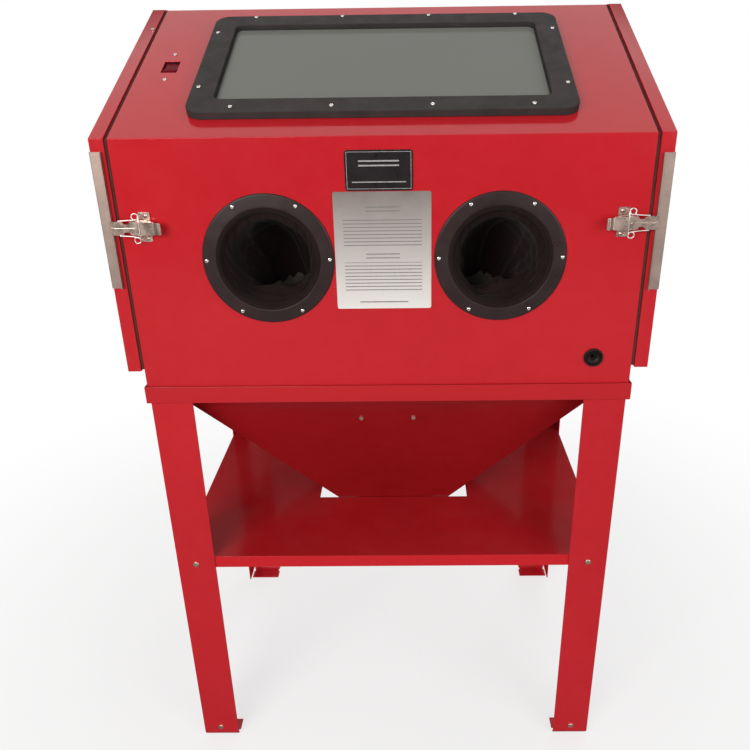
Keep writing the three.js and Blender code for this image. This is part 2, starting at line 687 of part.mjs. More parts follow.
// ---------- blast gun on the rear wall: barrel along X, muzzle to the left, grip down ----------
const GUN_X = 40;
const GUN_Y = 228;
const GUN_Z = 1110; // barrel axis
const GRIP_X = GUN_X + 29; // air inlet in the grip's foot
const MEDIA_X = GUN_X - 38; // media inlet under the barrel
const triggerRod = (radius, halfLength) =>
  rod("y", GUN_X, GUN_Y - halfLength, GUN_Z - 20, radius, 2 * halfLength, 10);
{
  const grip = [[-12, -4], [-13, -60], [-11, -118], [11, -118], [13, -60], [12, -4]]; // y, z
  piece(
    "gun_body",
    cut(
      join(
        rod("x", GUN_X - 62, GUN_Y, GUN_Z, 15, 118, 18),
        rod("x", GUN_X - 74, GUN_Y, GUN_Z, 10, 14, 18),
        alongX(shift(grip, GUN_Y, GUN_Z), GUN_X + 12, GUN_X + 46),
        rod("z", GRIP_X, GUN_Y, GUN_Z - 132, 8, 16, 14),
        rod("z", MEDIA_X, GUN_Y, GUN_Z - 44, 12, 36, 14),
        box(GUN_X - 4, GUN_X + 12, GUN_Y - 3, GUN_Y + 3, GUN_Z - 24, GUN_Z - 10), // trigger lug
      ),
      triggerRod(1.5, 12),
    ),
    cast,
  );
  const nozzle = [[4, 0], [13, 0], [13, -16], [8, -38], [4, -38], [4, 0]]; // radius, x
  piece("gun_nozzle", turned("x", GUN_X - 74.4, GUN_Y, GUN_Z, nozzle, 18), steel);
  // the trigger straddles the lug; x, z from the gun's middle
  const trigger = [
    [-6, -18.8], [-3.4, -16.4], [3.4, -16.4], [6, -18.8], [5, -34],
    [-8, -70], [-16, -92], [-20, -90], [-14, -66], [-5, -34],
  ];
  piece(
    "gun_trigger",
    cut(
      alongY(shift(trigger, GUN_X, GUN_Z), GUN_Y - 8, GUN_Y + 8),
      box(GUN_X - 30, GUN_X + 30, GUN_Y - 3.5, GUN_Y + 3.5, GUN_Z - 31, GUN_Z - 10),
      triggerRod(1.6, 12),
    ),
    black,
  );
  piece("gun_trigger_pin", triggerRod(1.2, 10), steel);
}
{
  // y, z above the barrel axis: out from the wall and under the barrel
  const hook = [
    [HALF_D - 4.4, 20], [HALF_D - 18, 13], [GUN_Y + 19.4, 1], [GUN_Y + 13.8, -13.8],
    [GUN_Y, -19.4], [GUN_Y - 13.8, -13.8], [GUN_Y - 19.4, 0], [GUN_Y - 20.4, 9],
  ].map(([y, z]) => [GUN_X - 20, y, GUN_Z + z]);
  const plate = box(GUN_X - 52, GUN_X - 12, INSIDE - 2, INSIDE, GUN_Z + 8, GUN_Z + 60);
  piece("gun_hook", join(plate, bar(hook, 2.6, 16, 6)), steel);
}

// hose paths: x, y, z
const airPath = [
  [GRIP_X, GUN_Y, GUN_Z - 132.5],
  [GUN_X + 32, GUN_Y, GUN_Z - 180],
  [GUN_X + 60, GUN_Y - 8, 870],
  [200, 180, 824], [300, 60, 822], [345, -80, 826], [338, -190, 849],
  [GROMMET_X, -HALF_D + 34, GROMMET_Z],
];
piece("air_hose", bar(airPath, 7.5, 24, 8), rubber);
const mediaPath = [
  [MEDIA_X, GUN_Y, GUN_Z - 44.5],
  [MEDIA_X, GUN_Y - 2, GUN_Z - 90],
  [GUN_X - 20, GUN_Y - 30, 960],
  [60, 150, 880], [120, 100, 830], [128, 96, 800], [122, 90, 760], [104, 75, 702],
];
piece("media_hose", bar(mediaPath, 11, 18, 8), rubber);
// solid tube, bored at its lower end
const tube = bar([[103.2, 74.4, 700], [68, 45, 550], [36, 18, 412]], 10, 5, 10);
const tubeBore = bar([[44, 24, 450], [36, 18, 412], [34, 16, 404]], 7, 4, 10);
piece("media_pickup_tube", cut(tube, tubeBore), steel);

// ---------- lamp under the flat top ----------
{
  const halfLength = 160, socket = 148; // the tube runs between the two end sockets
  const tubeHalf = socket - WIDE_GAP;
  piece(
    "lamp_housing",
    join(
      box(-halfLength, halfLength, 150, 236, 1362, TOP - SHEET - WIDE_GAP),
      box(-halfLength, -socket, 172, 214, 1336, 1363),
      box(socket, halfLength, 172, 214, 1336, 1363),
    ),
    galvanised,
  );
  piece("lamp_tube", rod("x", -tubeHalf, 193, 1346, 8, 2 * tubeHalf, 16), diffuser);
}

// ---------- dust outlet on the back, with its baffle inside, and the cable gland ----------
{
  const collar = [[29, 0], [48, 0], [48, 2], [31, 2], [31, 34], [29, 34], [29, 0]]; // radius, y
  piece("exhaust_collar", turned("y", EXHAUST_X, REAR, EXHAUST_Z, collar, 24), galvanised);
  const baffleBox = (halfX, y0, y1, below, above) =>
    box(EXHAUST_X - halfX, EXHAUST_X + halfX, y0, y1, EXHAUST_Z - below, EXHAUST_Z + above);
  piece(
    "exhaust_baffle",
    cut(
      baffleBox(62, HALF_D - 60, HALF_D - SHEET - WIDE_GAP, 66, 66),
      baffleBox(60, HALF_D - 58, HALF_D + 2, 70, 64), // open at the bottom and rear
    ),
    galvanised,
  );
  const gland = [
    [3.6, -9], [11, -9], [11, -2.4], [8, -2.4], [8, 0.4], [12, 0.4],
    [12, 6], [9, 7], [8, 15], [3.6, 15], [3.6, -9],
  ];
  piece("cable_gland", turned("y", GLAND_X, HALF_D, GLAND_Z, gland, 12), black);
}

export default root;
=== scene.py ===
"""A red blasting cabinet on four legs: a chamber with a sloping window panel, two arm ports with
gloves, a hopper below, a side door with a draw latch at each end, and a blast gun inside.

+X is the viewer's right, -Y the front and +Z up. Parts are laid out in millimetres from the middle
of the chamber and turned into metres as they are made; materials, lights and camera use metres.
"""
import json
from math import atan2, copysign, cos, hypot, pi, radians, sin, sqrt, tau

import bmesh
import bpy
import numpy as np
from mathutils import Matrix, Vector, noise

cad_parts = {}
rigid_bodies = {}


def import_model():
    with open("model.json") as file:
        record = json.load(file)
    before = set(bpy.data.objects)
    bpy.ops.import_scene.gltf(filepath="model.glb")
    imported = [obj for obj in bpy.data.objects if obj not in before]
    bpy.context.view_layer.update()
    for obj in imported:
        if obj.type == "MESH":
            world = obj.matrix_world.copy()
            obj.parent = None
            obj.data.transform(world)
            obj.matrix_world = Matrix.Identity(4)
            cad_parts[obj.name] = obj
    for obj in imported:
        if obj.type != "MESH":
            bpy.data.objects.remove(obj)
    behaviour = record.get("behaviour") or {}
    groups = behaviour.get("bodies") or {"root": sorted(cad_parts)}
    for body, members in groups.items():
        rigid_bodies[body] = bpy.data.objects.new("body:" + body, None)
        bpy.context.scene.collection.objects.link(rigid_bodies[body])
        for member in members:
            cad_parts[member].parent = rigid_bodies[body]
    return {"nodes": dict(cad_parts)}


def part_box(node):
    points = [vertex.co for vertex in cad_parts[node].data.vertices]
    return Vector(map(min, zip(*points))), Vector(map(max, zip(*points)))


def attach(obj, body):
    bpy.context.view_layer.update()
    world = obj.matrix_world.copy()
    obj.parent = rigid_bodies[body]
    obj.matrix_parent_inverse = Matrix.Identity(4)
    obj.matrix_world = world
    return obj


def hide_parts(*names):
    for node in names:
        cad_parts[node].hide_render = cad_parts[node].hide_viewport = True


for old in list(bpy.data.objects):
    bpy.data.objects.remove(old)
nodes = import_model()["nodes"]
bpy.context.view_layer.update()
scene = bpy.context.scene

# ---------------------------------------------------------------- places, in millimetres
CHAMBER_Y = -8.1  # the chamber's middle sits this far in front of the origin
SIDES = (("left", -1), ("right", 1))
FRONT, BACK, UP, DOWN = (0, -1, 0), (0, 1, 0), (0, 0, 1), (0, 0, -1)

# the sloping panel: its front edge, and the run and rise that set its angle
SLOPE_ORIGIN = Vector((0, -275, 1202))
SLOPE_ANGLE = atan2(182, 389)
SLOPE_ACROSS = Vector((1, 0, 0))
SLOPE_UP = Vector((0, cos(SLOPE_ANGLE), sin(SLOPE_ANGLE)))
SLOPE_OUT = Vector((0, -sin(SLOPE_ANGLE), cos(SLOPE_ANGLE)))


def on_slope(x, y, z):
    """A place on the sloping panel: x across it, y up it and z out of it."""
    return SLOPE_ORIGIN + SLOPE_ACROSS * x + SLOPE_UP * y + SLOPE_OUT * z


def layout_mm(point):
    """A point of the scene, in metres, as a place in the layout."""
    placed = point * 1000
    placed.y -= CHAMBER_Y
    return placed


def to_metres(point):
    return point.x / 1000, (point.y + CHAMBER_Y) / 1000, point.z / 1000


def box_mm(node):
    low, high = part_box(node)
    return layout_mm(low), layout_mm(high)


def middle_mm(node):
    low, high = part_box(node)
    return layout_mm((low + high) / 2)


# ---------------------------------------------------------------- node helpers
class NodeGraph:
    """Adds nodes to one tree. An input takes a plain value or another node's output."""

    def __init__(self, tree):
        self.tree = tree
        tree.nodes.clear()

    def add(self, kind, **settings):
        node = self.tree.nodes.new("ShaderNode" + kind)
        for key, value in settings.items():
            setattr(node, key, value)
        return node

    def put(self, socket, value):
        if isinstance(value, bpy.types.NodeSocket):
            self.tree.links.new(value, socket)
        else:
            socket.default_value = value

    def remap(self, value, span=(0.3, 0.7), to=(0.0, 1.0), **settings):
        node = self.add("MapRange", **settings)
        self.put(node.inputs["Value"], value)
        names = ("From Min", "From Max", "To Min", "To Max")
        for key, number in zip(names, (*span, *to)):
            node.inputs[key].default_value = number
        return node.outputs["Result"]

    def calc(self, operation, first, second=0.0):
        node = self.add("Math", operation=operation)
        self.put(node.inputs[0], first)
        self.put(node.inputs[1], second)
        return node.outputs[0]

    def times(self, first, second):
        return self.calc("MULTIPLY", first, second)


class Surface(NodeGraph):
    """A principled material textured in the piece's own space, in metres."""

    def __init__(self, name):
        self.material = bpy.data.materials.new(name)
        self.material.use_nodes = True
        super().__init__(self.material.node_tree)
        self.output = self.add("OutputMaterial")
        self.shader = self.add("BsdfPrincipled")
        self.put(self.output.inputs["Surface"], self.shader.outputs["BSDF"])
        self.coord = self.add("TexCoord").outputs["Object"]
        self.normal = None

    def set(self, **inputs):
        for key, value in inputs.items():
            self.put(self.shader.inputs[key.replace("_", " ")], value)

    def stretched(self, scale, turn=(0, 0, 0)):
        node = self.add("Mapping")
        self.put(node.inputs["Vector"], self.coord)
        node.inputs["Scale"].default_value = scale
        node.inputs["Rotation"].default_value = turn
        return node.outputs["Vector"]

    def noise(self, scale, detail=3, rough=0.5, vector=None):
        node = self.add("TexNoise")
        self.put(node.inputs["Vector"], vector or self.coord)
        node.inputs["Scale"].default_value = scale
        node.inputs["Detail"].default_value = detail
        node.inputs["Roughness"].default_value = rough
        return node.outputs["Fac"]

    def mottle(self, span=(0.3, 0.7), to=(0.0, 1.0), **texture):
        """Noise, remapped from span to the range asked for."""
        return self.remap(self.noise(**texture), span, to)

    def bands(self, scale, vector=None):
        node = self.add("TexWave", wave_type="BANDS", bands_direction="DIAGONAL")
        self.put(node.inputs["Vector"], vector or self.coord)
        node.inputs["Scale"].default_value = scale
        return node.outputs["Fac"]

    def mix(self, share, first, second):
        node = self.add("Mix", data_type="RGBA", blend_type="MIX")
        self.put(node.inputs[0], share)
        for i, value in ((6, first), (7, second)):
            self.put(node.inputs[i], (*value, 1.0) if isinstance(value, tuple) else value)
        return node.outputs[2]

    def part(self, vector, axis):
        node = self.add("SeparateXYZ")
        self.put(node.inputs[0], vector)
        return node.outputs[axis]

    def facing_up(self):
        return self.part(self.add("NewGeometry").outputs["Normal"], "Z")

    def bump(self, height, metres, strength):
        """Adds a bump on top of those already there."""
        node = self.add("Bump")
        node.inputs["Strength"].default_value = strength
        node.inputs["Distance"].default_value = metres
        self.put(node.inputs["Height"], height)
        if self.normal is not None:
            self.put(node.inputs["Normal"], self.normal)
        self.normal = node.outputs["Normal"]
        self.set(Normal=self.normal)

    def edge(self, radius, span=(0.02, 0.25)):
        """1 on an edge, 0 on a flat: how far a rounded normal leans from the true one."""
        bevel = self.add("Bevel", samples=4)
        bevel.inputs["Radius"].default_value = radius
        geometry = self.add("NewGeometry")
        dot = self.add("VectorMath", operation="DOT_PRODUCT")
        self.put(dot.inputs[0], bevel.outputs["Normal"])
        self.put(dot.inputs[1], geometry.outputs["True Normal"])
        return self.remap(self.calc("SUBTRACT", 1.0, dot.outputs["Value"]), span)


def shade(tone, factor):
    return tuple(min(1, c * factor) for c in tone)


# ---------------------------------------------------------------- kinds of material
def paint(name, base, deep, pale, rough=0.13, dust=0.0, shine=0.40, upright=None):
    """Gloss paint, worn at the edges and given a painted highlight there. upright is the lit
    colour painted on the upright faces; flatter faces keep the darker colour as painted shade.
    """
    mat = Surface(name)
    cloud = mat.noise(scale=2.6, rough=0.55)
    fine = mat.noise(scale=41, detail=4, rough=0.6)
    colour = mat.mix(mat.remap(cloud), deep, base)
    colour = mat.mix(mat.remap(fine, span=(0.35, 0.8), to=(0, 0.16)), colour, pale)
    # painted light: upright faces take the lit colour, flatter faces stay darker as painted shade
    if upright:
        up = mat.facing_up()
        steep = mat.remap(mat.times(up, up), span=(0.04, 0.16), to=(1.0, 0.0))
        colour = mat.mix(steep, colour, upright)
    # lighter edges: real wear, and partly a painted highlight along them
    wear_and_highlight = mat.times(
        mat.edge(radius=0.0016),
        mat.mottle(scale=60, detail=5, rough=0.7, span=(0.42, 0.66), to=(0.06, 0.5)),
    )
    colour = mat.mix(wear_and_highlight, colour, (0.60, 0.12, 0.11))
    hairs = mat.stretched(scale=(1, 1, 24), turn=(0.3, 0.5, 0.2))
    haze = mat.times(
        mat.mottle(scale=7, detail=2, vector=hairs, span=(0.62, 0.78)),
        mat.mottle(scale=3.1, span=(0.45, 0.7)),
    )
    if dust:
        settled = mat.times(
            mat.remap(mat.facing_up(), span=(0.6, 1.0), to=(0, dust)),
            mat.mottle(scale=9, detail=5, rough=0.65, span=(0.36, 0.72)),
        )
        colour = mat.mix(settled, colour, (0.42, 0.33, 0.30))
    gloss = mat.mottle(
        scale=17, detail=4, rough=0.6, span=(0.3, 0.75), to=(rough - 0.04, rough + 0.07)
    )
    gloss = mat.calc("ADD", gloss, mat.times(wear_and_highlight, 0.3))
    gloss = mat.calc("ADD", gloss, mat.times(haze, 0.05))
    mat.set(Base_Color=colour, Roughness=gloss, IOR=1.45, Specular_IOR_Level=shine)
    # the sheet is never quite flat, and the paint has a fine orange peel
    mat.bump(mat.noise(scale=3.2, detail=2, rough=0.4), metres=0.006, strength=0.10)
    mat.bump(mat.noise(scale=330, detail=2), metres=0.00010, strength=0.30)
    return mat.material


def metal(name, base, dark, rough=0.34, grain=(1, 1, 40), grain_scale=14, metallic=1.0,
          spangle=0.0, bump=0.00012, edge_tone=None, wear_and_highlight=0.35):
    """Metal with a streaky grain, its edges lightened by rubbing and by a painted highlight.
    spangle is the scale of its crystal pattern, if it has one.
    """
    mat = Surface(name)
    colour = mat.mix(mat.mottle(scale=34, detail=4, rough=0.6), dark, base)
    if spangle:
        cells = mat.add("TexVoronoi", feature="F1")
        mat.put(cells.inputs["Vector"], mat.coord)
        cells.inputs["Scale"].default_value = spangle
        tones = mat.add("SeparateColor")
        mat.put(tones.inputs[0], cells.outputs["Color"])
        lift = mat.remap(tones.outputs[0], span=(0, 1), to=(0.0, 0.35))
        colour = mat.mix(lift, colour, shade(base, 1.45))
        gloss = mat.remap(tones.outputs[1], span=(0, 1), to=(rough - 0.09, rough + 0.12))
    else:
        gloss = mat.mottle(scale=70, detail=4, rough=0.6, to=(rough - 0.08, rough + 0.1))
    streak = mat.noise(scale=grain_scale, detail=4, rough=0.6, vector=mat.stretched(grain))
    colour = mat.mix(mat.remap(streak, span=(0.35, 0.75), to=(0, 0.22)), colour, dark)
    # lighter edges in edge_tone: rubbed wear, and partly a painted highlight
    rubbed_and_highlit = mat.times(
        mat.edge(radius=0.0008, span=(0.02, 0.3)),
        mat.mottle(scale=150, rough=0.6, to=(0.4, 1.0)),
    )
    colour = mat.mix(mat.times(rubbed_and_highlit, wear_and_highlight), colour, edge_tone or shade(base, 1.35))
    mat.set(Base_Color=colour, Metallic=metallic, Roughness=gloss)
    mat.bump(streak, metres=bump, strength=0.3)
    mat.bump(mat.noise(scale=600, detail=2), metres=bump * 0.6, strength=0.25)
    return mat.material


def moulded(name, base, pale, rough=0.42, grain=900, depth=0.00008, shine=0.45,
            wear_and_highlight_tone=(0.12, 0.11, 0.11), wear_and_highlight=0.5):
    """Plastic, rubber or a matt coating, with a surface grain of the given scale and depth, and
    edges lightened by wear and by a painted highlight.
    """
    mat = Surface(name)
    colour = mat.mix(mat.mottle(scale=24, detail=4, rough=0.6, span=(0.3, 0.75)), base, pale)
    # lighter edges: wear, and partly a painted highlight
    rubbed_and_highlit = mat.times(
        mat.edge(radius=0.0012, span=(0.03, 0.35)),
        mat.mottle(scale=110, detail=4, rough=0.65, span=(0.38, 0.66), to=(0.15, 1.0)),
    )
    colour = mat.mix(mat.times(rubbed_and_highlit, wear_and_highlight), colour, wear_and_highlight_tone)
    gloss = mat.mottle(scale=38, detail=4, rough=0.6, to=(rough - 0.07, rough + 0.1))
    mat.set(Base_Color=colour, Roughness=gloss, Specular_IOR_Level=shine)
    mat.bump(mat.noise(scale=grain, rough=0.6), metres=depth, strength=0.6)
    mat.bump(mat.noise(scale=7, detail=2), metres=0.002, strength=0.05)
    return mat.material


def cloth(name, base, pale):
    mat = Surface(name)
    # two crossing sets of yarns
    yarns = mat.bands(scale=150)
    crossing = mat.bands(scale=150, vector=mat.stretched((-1, 1, 1)))
    weave = mat.calc("MAXIMUM", yarns, crossing)
    colour = mat.mix(mat.mottle(scale=16, detail=5, rough=0.6, span=(0.3, 0.75)), base, pale)
    gaps = mat.remap(weave, span=(0.2, 0.95), to=(0.45, 0.0))
    colour = mat.mix(gaps, colour, shade(base, 0.4))
    dust = mat.times(mat.mottle(scale=6.5, detail=4, rough=0.6, span=(0.5, 0.72)), 0.25)
    colour = mat.mix(dust, colour, (0.030, 0.019, 0.018))
    mat.set(
        Base_Color=colour, Roughness=mat.mottle(scale=90, rough=0.6, to=(0.78, 0.93)),
        Sheen_Weight=0.04, Sheen_Roughness=0.5, Specular_IOR_Level=0.12,
    )
    mat.bump(weave, metres=0.0003, strength=0.7)
    mat.bump(mat.noise(scale=60, detail=5, rough=0.65), metres=0.0016, strength=0.5)
    return mat.material


def film_glass():
    """Window glass under a pale, hazy film."""
    mat = Surface("window_film_glass")
    colour = mat.mix(mat.mottle(scale=2.2), (0.190, 0.197, 0.178), (0.205, 0.211, 0.192))
    haze = mat.noise(scale=230, detail=4, rough=0.7)
    colour = mat.mix(
        mat.remap(haze, span=(0.5, 0.85), to=(0, 0.08)), colour, (0.26, 0.26, 0.24)
    )
    gloss = mat.mottle(scale=26, detail=4, rough=0.6, to=(0.10, 0.2))
    mat.set(Base_Color=colour, Roughness=gloss, Specular_IOR_Level=0.06)
    mat.bump(mat.noise(scale=5.5, detail=2), metres=0.002, strength=0.06)
    mat.bump(haze, metres=0.00004, strength=0.3)
    return mat.material


def plate(name, node, top, bottom, rule, ink, blocks, border=None, rough=0.35):
    """A printed plate: painted shade darkening it towards its top, a border line and blocks of
    ruled lines.

    A block is (low, high, pitch, half width), its heights from the plate's lower edge, or from
    its upper edge where negative. rule is a line's share of the pitch; border is (inset, width).
    """
    mat = Surface(name)
    low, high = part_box(node)
    z = mat.part(mat.coord, 2)
    x = mat.part(mat.coord, 0)
    # painted shade: the plate darkens from its bottom colour to its top colour
    colour = mat.mix(mat.remap(z, span=(low.z, high.z)), bottom, top)
    stain = mat.mottle(scale=21, detail=4, rough=0.6, span=(0.3, 0.75), to=(0, 0.14))
    colour = mat.mix(stain, colour, shade(bottom, 0.8))
    mask = None
    off_middle = mat.calc("ABSOLUTE", mat.calc("SUBTRACT", x, (low.x + high.x) / 2))
    for start, end, pitch, half in blocks:
        start, end = (z_mm + (high.z if z_mm < 0 else low.z) for z_mm in (start, end))
        block = mat.times(mat.calc("GREATER_THAN", z, start), mat.calc("LESS_THAN", z, end))
        block = mat.times(block, mat.calc("LESS_THAN", off_middle, half))
        lines = mat.calc("DIVIDE", mat.calc("SUBTRACT", z, start), pitch)
        block = mat.times(block, mat.calc("LESS_THAN", mat.calc("FRACT", lines), rule))
        mask = mat.calc("MAXIMUM", mask, block) if mask else block
    if border:
        inset, width = border
        in_z = mat.calc(
            "MINIMUM", mat.calc("SUBTRACT", z, low.z), mat.calc("SUBTRACT", high.z, z)
        )
        in_x = mat.calc("SUBTRACT", (high.x - low.x) / 2, off_middle)
        depth = mat.calc("MINIMUM", in_x, in_z)
        line = mat.times(
            mat.calc("GREATER_THAN", depth, inset), mat.calc("LESS_THAN", depth, inset + width)
        )
        mask = mat.calc("MAXIMUM", mask, line)
    fade = mat.mottle(scale=420, detail=2, to=(0.75, 1.0))
    colour = mat.mix(mat.times(mask, fade), colour, ink)
    gloss = mat.mottle(scale=55, detail=4, rough=0.6, to=(rough - 0.06, rough + 0.1))
    mat.set(Base_Color=colour, Roughness=gloss, Specular_IOR_Level=0.22)
    mat.bump(mat.noise(scale=4, detail=2), metres=0.0015, strength=0.06)
    mat.bump(mat.noise(scale=800, detail=2), metres=0.00003, strength=0.3)
    return mat.material


# ---------------------------------------------------------------- the materials
RED = paint(
    "paint_gloss_red",
    base=(0.560, 0.0148, 0.0230), deep=(0.505, 0.0125, 0.0195), pale=(0.64, 0.034, 0.042),
)
# a darker copy of the red paint for the hopper: painted shade on its underside, with the lit
# colour on its upright faces
RED_HOPPER_SHADED = paint(
    "paint_gloss_red_painted_shade_underside",
    base=(0.340, 0.0085, 0.0122), deep=(0.275, 0.0066, 0.0094), pale=(0.45, 0.023, 0.027),
    rough=0.16, upright=(0.500, 0.0150, 0.0215),
)
# a darker copy of the red paint for the shelf as painted shade, with real dust settled on it and
# the lit colour on its upright faces
RED_SHELF_SHADED = paint(
    "paint_gloss_red_dusty_painted_shade",
    base=(0.470, 0.0105, 0.0155), deep=(0.405, 0.0085, 0.0125), pale=(0.54, 0.030, 0.034),
    dust=0.03, shine=0.24, upright=(0.580, 0.0170, 0.0240),
)
ZINC = metal(
    "zinc_plated_bright", base=(0.72, 0.66, 0.61), dark=(0.48, 0.43, 0.39), rough=0.27
)
SPRING_WIRE = metal(
    "bright_spring_wire", base=(0.95, 0.90, 0.85), dark=(0.90, 0.84, 0.79),
    edge_tone=(1.0, 0.97, 0.94), wear_and_highlight=0.5,
)
# the warm pink tint of this zinc is a painted reflection of the red paint around it
ZINC_DULL = metal(
    "zinc_strip_dull_painted_red_reflection", base=(0.47, 0.350, 0.300), dark=(0.36, 0.268, 0.228), rough=0.46,
    grain=(1, 1, 6), grain_scale=30, metallic=0.85, edge_tone=(0.9, 0.84, 0.78), wear_and_highlight=0.9,
)
# the warm pink tint of this zinc is a painted reflection of the red paint around it, and its pale
# edge_tone a painted highlight
LATCH = metal(
    "zinc_plated_latch_painted_red_reflection", base=(0.77, 0.580, 0.500), dark=(0.62, 0.460, 0.395), rough=0.28,
    grain=(1, 30, 1), grain_scale=10, bump=0.00003, edge_tone=(0.98, 0.93, 0.88), wear_and_highlight=0.8,
)
WARM_ZINC = metal(
    "zinc_plated_warm", base=(0.88, 0.72, 0.58), dark=(0.66, 0.50, 0.39), rough=0.26
)
CHROME = metal(
    "zinc_plated_polished", base=(0.84, 0.80, 0.76), dark=(0.66, 0.61, 0.57), rough=0.17
)
GALV = metal(
    "galvanised_spangle", base=(0.50, 0.49, 0.47), dark=(0.33, 0.33, 0.32), rough=0.44,
    spangle=85, grain=(1, 1, 1), bump=0.0001,
)
GRATE = metal(
    "galvanised_worn_grate", base=(0.44, 0.42, 0.40), dark=(0.22, 0.205, 0.19), rough=0.5,
    spangle=70, grain=(1, 6, 1), bump=0.0002, edge_tone=(0.75, 0.73, 0.70), wear_and_highlight=0.8,
)
CAST = metal(
    "cast_alloy_blasted", base=(0.36, 0.37, 0.385), dark=(0.22, 0.225, 0.235), rough=0.52,
    grain=(1, 1, 1), grain_scale=90, bump=0.00035, wear_and_highlight=0.6,
)
BLACK = moulded(
    "black_coating_satin", base=(0.022, 0.0120, 0.0115), pale=(0.034, 0.020, 0.019),
    rough=0.33, grain=700, shine=0.30,
)
FRAME_BLACK = moulded(
    "black_frame_coating", base=(0.036, 0.031, 0.031), pale=(0.050, 0.044, 0.043),
    rough=0.55, grain=520, depth=0.00012, shine=0.14,
)
PLASTIC = moulded(
    "black_plastic_grain", base=(0.012, 0.012, 0.012), pale=(0.024, 0.023, 0.023), rough=0.44
)
RUBBER = moulded(
    "black_rubber_matt", base=(0.0085, 0.0085, 0.0088), pale=(0.020, 0.019, 0.019),
    rough=0.66, grain=420, depth=0.0002, shine=0.35,
)
FOAM = moulded(
    "black_foam_seal", base=(0.075, 0.024, 0.021), pale=(0.110, 0.044, 0.037),
    rough=0.88, depth=0.0009, shine=0.15,
)
FABRIC = cloth(
    "glove_cloth_black", base=(0.0138, 0.0064, 0.0064), pale=(0.0215, 0.0105, 0.0102)
)
LINING = cloth(
    "glove_knit_lining", base=(0.1100, 0.0980, 0.0800), pale=(0.1500, 0.1350, 0.1100)
)
GLOVE_RUBBER = moulded(
    "glove_coated_rubber", base=(0.0120, 0.0105, 0.0105), pale=(0.022, 0.019, 0.0185),
    rough=0.62, grain=360, depth=0.0003, shine=0.3,
)
GLASS = film_glass()
ROCKER = moulded(
    "rocker_dark_red", base=(0.150, 0.0045, 0.011), pale=(0.195, 0.007, 0.015),
    depth=0.00003, shine=0.10, wear_and_highlight_tone=(0.4, 0.05, 0.06),
)
HOUSING = moulded(
    "switch_housing_dark", base=(0.040, 0.0050, 0.0065), pale=(0.060, 0.0075, 0.009),
    rough=0.55, depth=0.00004, shine=0.08, wear_and_highlight_tone=(0.2, 0.03, 0.03),
)
DIFFUSER = moulded(
    "lamp_diffuser_milky", base=(0.72, 0.71, 0.67), pale=(0.80, 0.79, 0.75),
    rough=0.3, grain=500, depth=0.00004, wear_and_highlight_tone=(0.9, 0.9, 0.86), wear_and_highlight=0.2,
)
GROMMET = moulded(
    "grommet_rubber_dark", base=(0.0095, 0.0065, 0.0060), pale=(0.016, 0.011, 0.010),
    rough=0.46, grain=700, depth=0.00006, shine=0.22,
)
# a very dark metal for the air inlet coupler
DARK_FITTING = metal(
    "dark_metal_fitting", base=(0.055, 0.040, 0.030), dark=(0.030, 0.022, 0.017), rough=0.5
)
LABEL_UPPER = plate(
    "plate_dark", "label_plate_upper",
    top=(0.0125, 0.0095, 0.0105), bottom=(0.0165, 0.0125, 0.0135),
    rule=0.34, ink=(0.42, 0.41, 0.40), border=(0.0026, 0.0007), rough=0.3,
    blocks=[(-0.0235, -0.0105, 0.0065, 0.030), (0.012, 0.0165, 0.0045, 0.040)],
)
# its grey top is painted shade, fading to the pale colour at the bottom
LABEL_LOWER = plate(
    "plate_pale", "label_plate_lower",
    top=(0.205, 0.168, 0.153), bottom=(0.80, 0.765, 0.73),
    rule=0.30, ink=(0.20, 0.19, 0.18), rough=0.4,
    blocks=[
        (-0.030, -0.018, 0.0060, 0.026), (-0.082, -0.038, 0.0055, 0.060),
        (-0.102, -0.090, 0.0060, 0.026), (0.030, -0.108, 0.0055, 0.060),
        (0.010, 0.0165, 0.0065, 0.038),
    ],
)


# ---------------------------------------------------------------- mesh helpers, in millimetres
def piece(name, mesh, mat, body="cabinet", smooth=32, bevel=0.0,
          mirror=False, replaces=None):
    """Turns a finished mesh into an object that rides a body and may replace a CAD node."""
    if mirror:
        bmesh.ops.scale(mesh, vec=(-1, 1, 1), verts=mesh.verts)
        bmesh.ops.reverse_faces(mesh, faces=mesh.faces)
    bmesh.ops.remove_doubles(mesh, verts=mesh.verts, dist=1e-3)
    bmesh.ops.recalc_face_normals(mesh, faces=mesh.faces)
    bmesh.ops.translate(mesh, vec=(0, CHAMBER_Y, 0), verts=mesh.verts)
    bmesh.ops.scale(mesh, vec=(0.001,) * 3, verts=mesh.verts)
    data = bpy.data.meshes.new(name)
    mesh.to_mesh(data)
    mesh.free()
    smooth_faces(data)
    data.set_sharp_from_angle(angle=radians(smooth))
    data.materials.append(mat)
    obj = add_object(name, data)
    if bevel:
        edges = obj.modifiers.new("edges", "BEVEL")
        edges.width = bevel / 1000
        edges.segments = 2
        edges.limit_method = "ANGLE"
        edges.angle_limit = radians(smooth)
        edges.use_clamp_overlap = True
        obj.modifiers.new("normals", "WEIGHTED_NORMAL").keep_sharp = False
    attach(obj, body)
    if replaces:
        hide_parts(replaces)


def add_object(name, data):
    obj = bpy.data.objects.new(name, data)
    scene.collection.objects.link(obj)
    return obj


def smooth_faces(data):
    data.polygons.foreach_set("use_smooth", [True] * len(data.polygons))


def basis(axis):
    axis = Vector(axis).normalized()
    aside = Vector((0, 0, 1)) if abs(axis.z) < 0.9 else Vector((1, 0, 0))
    across = axis.cross(aside).normalized()
    return axis, across, axis.cross(across).normalized()


def circle(mesh, centre, across, up, radius, sides, turn=0.0):
    angles = (tau * i / sides + turn for i in range(sides))
    return [mesh.verts.new(centre + (across * cos(a) + up * sin(a)) * radius) for a in angles]


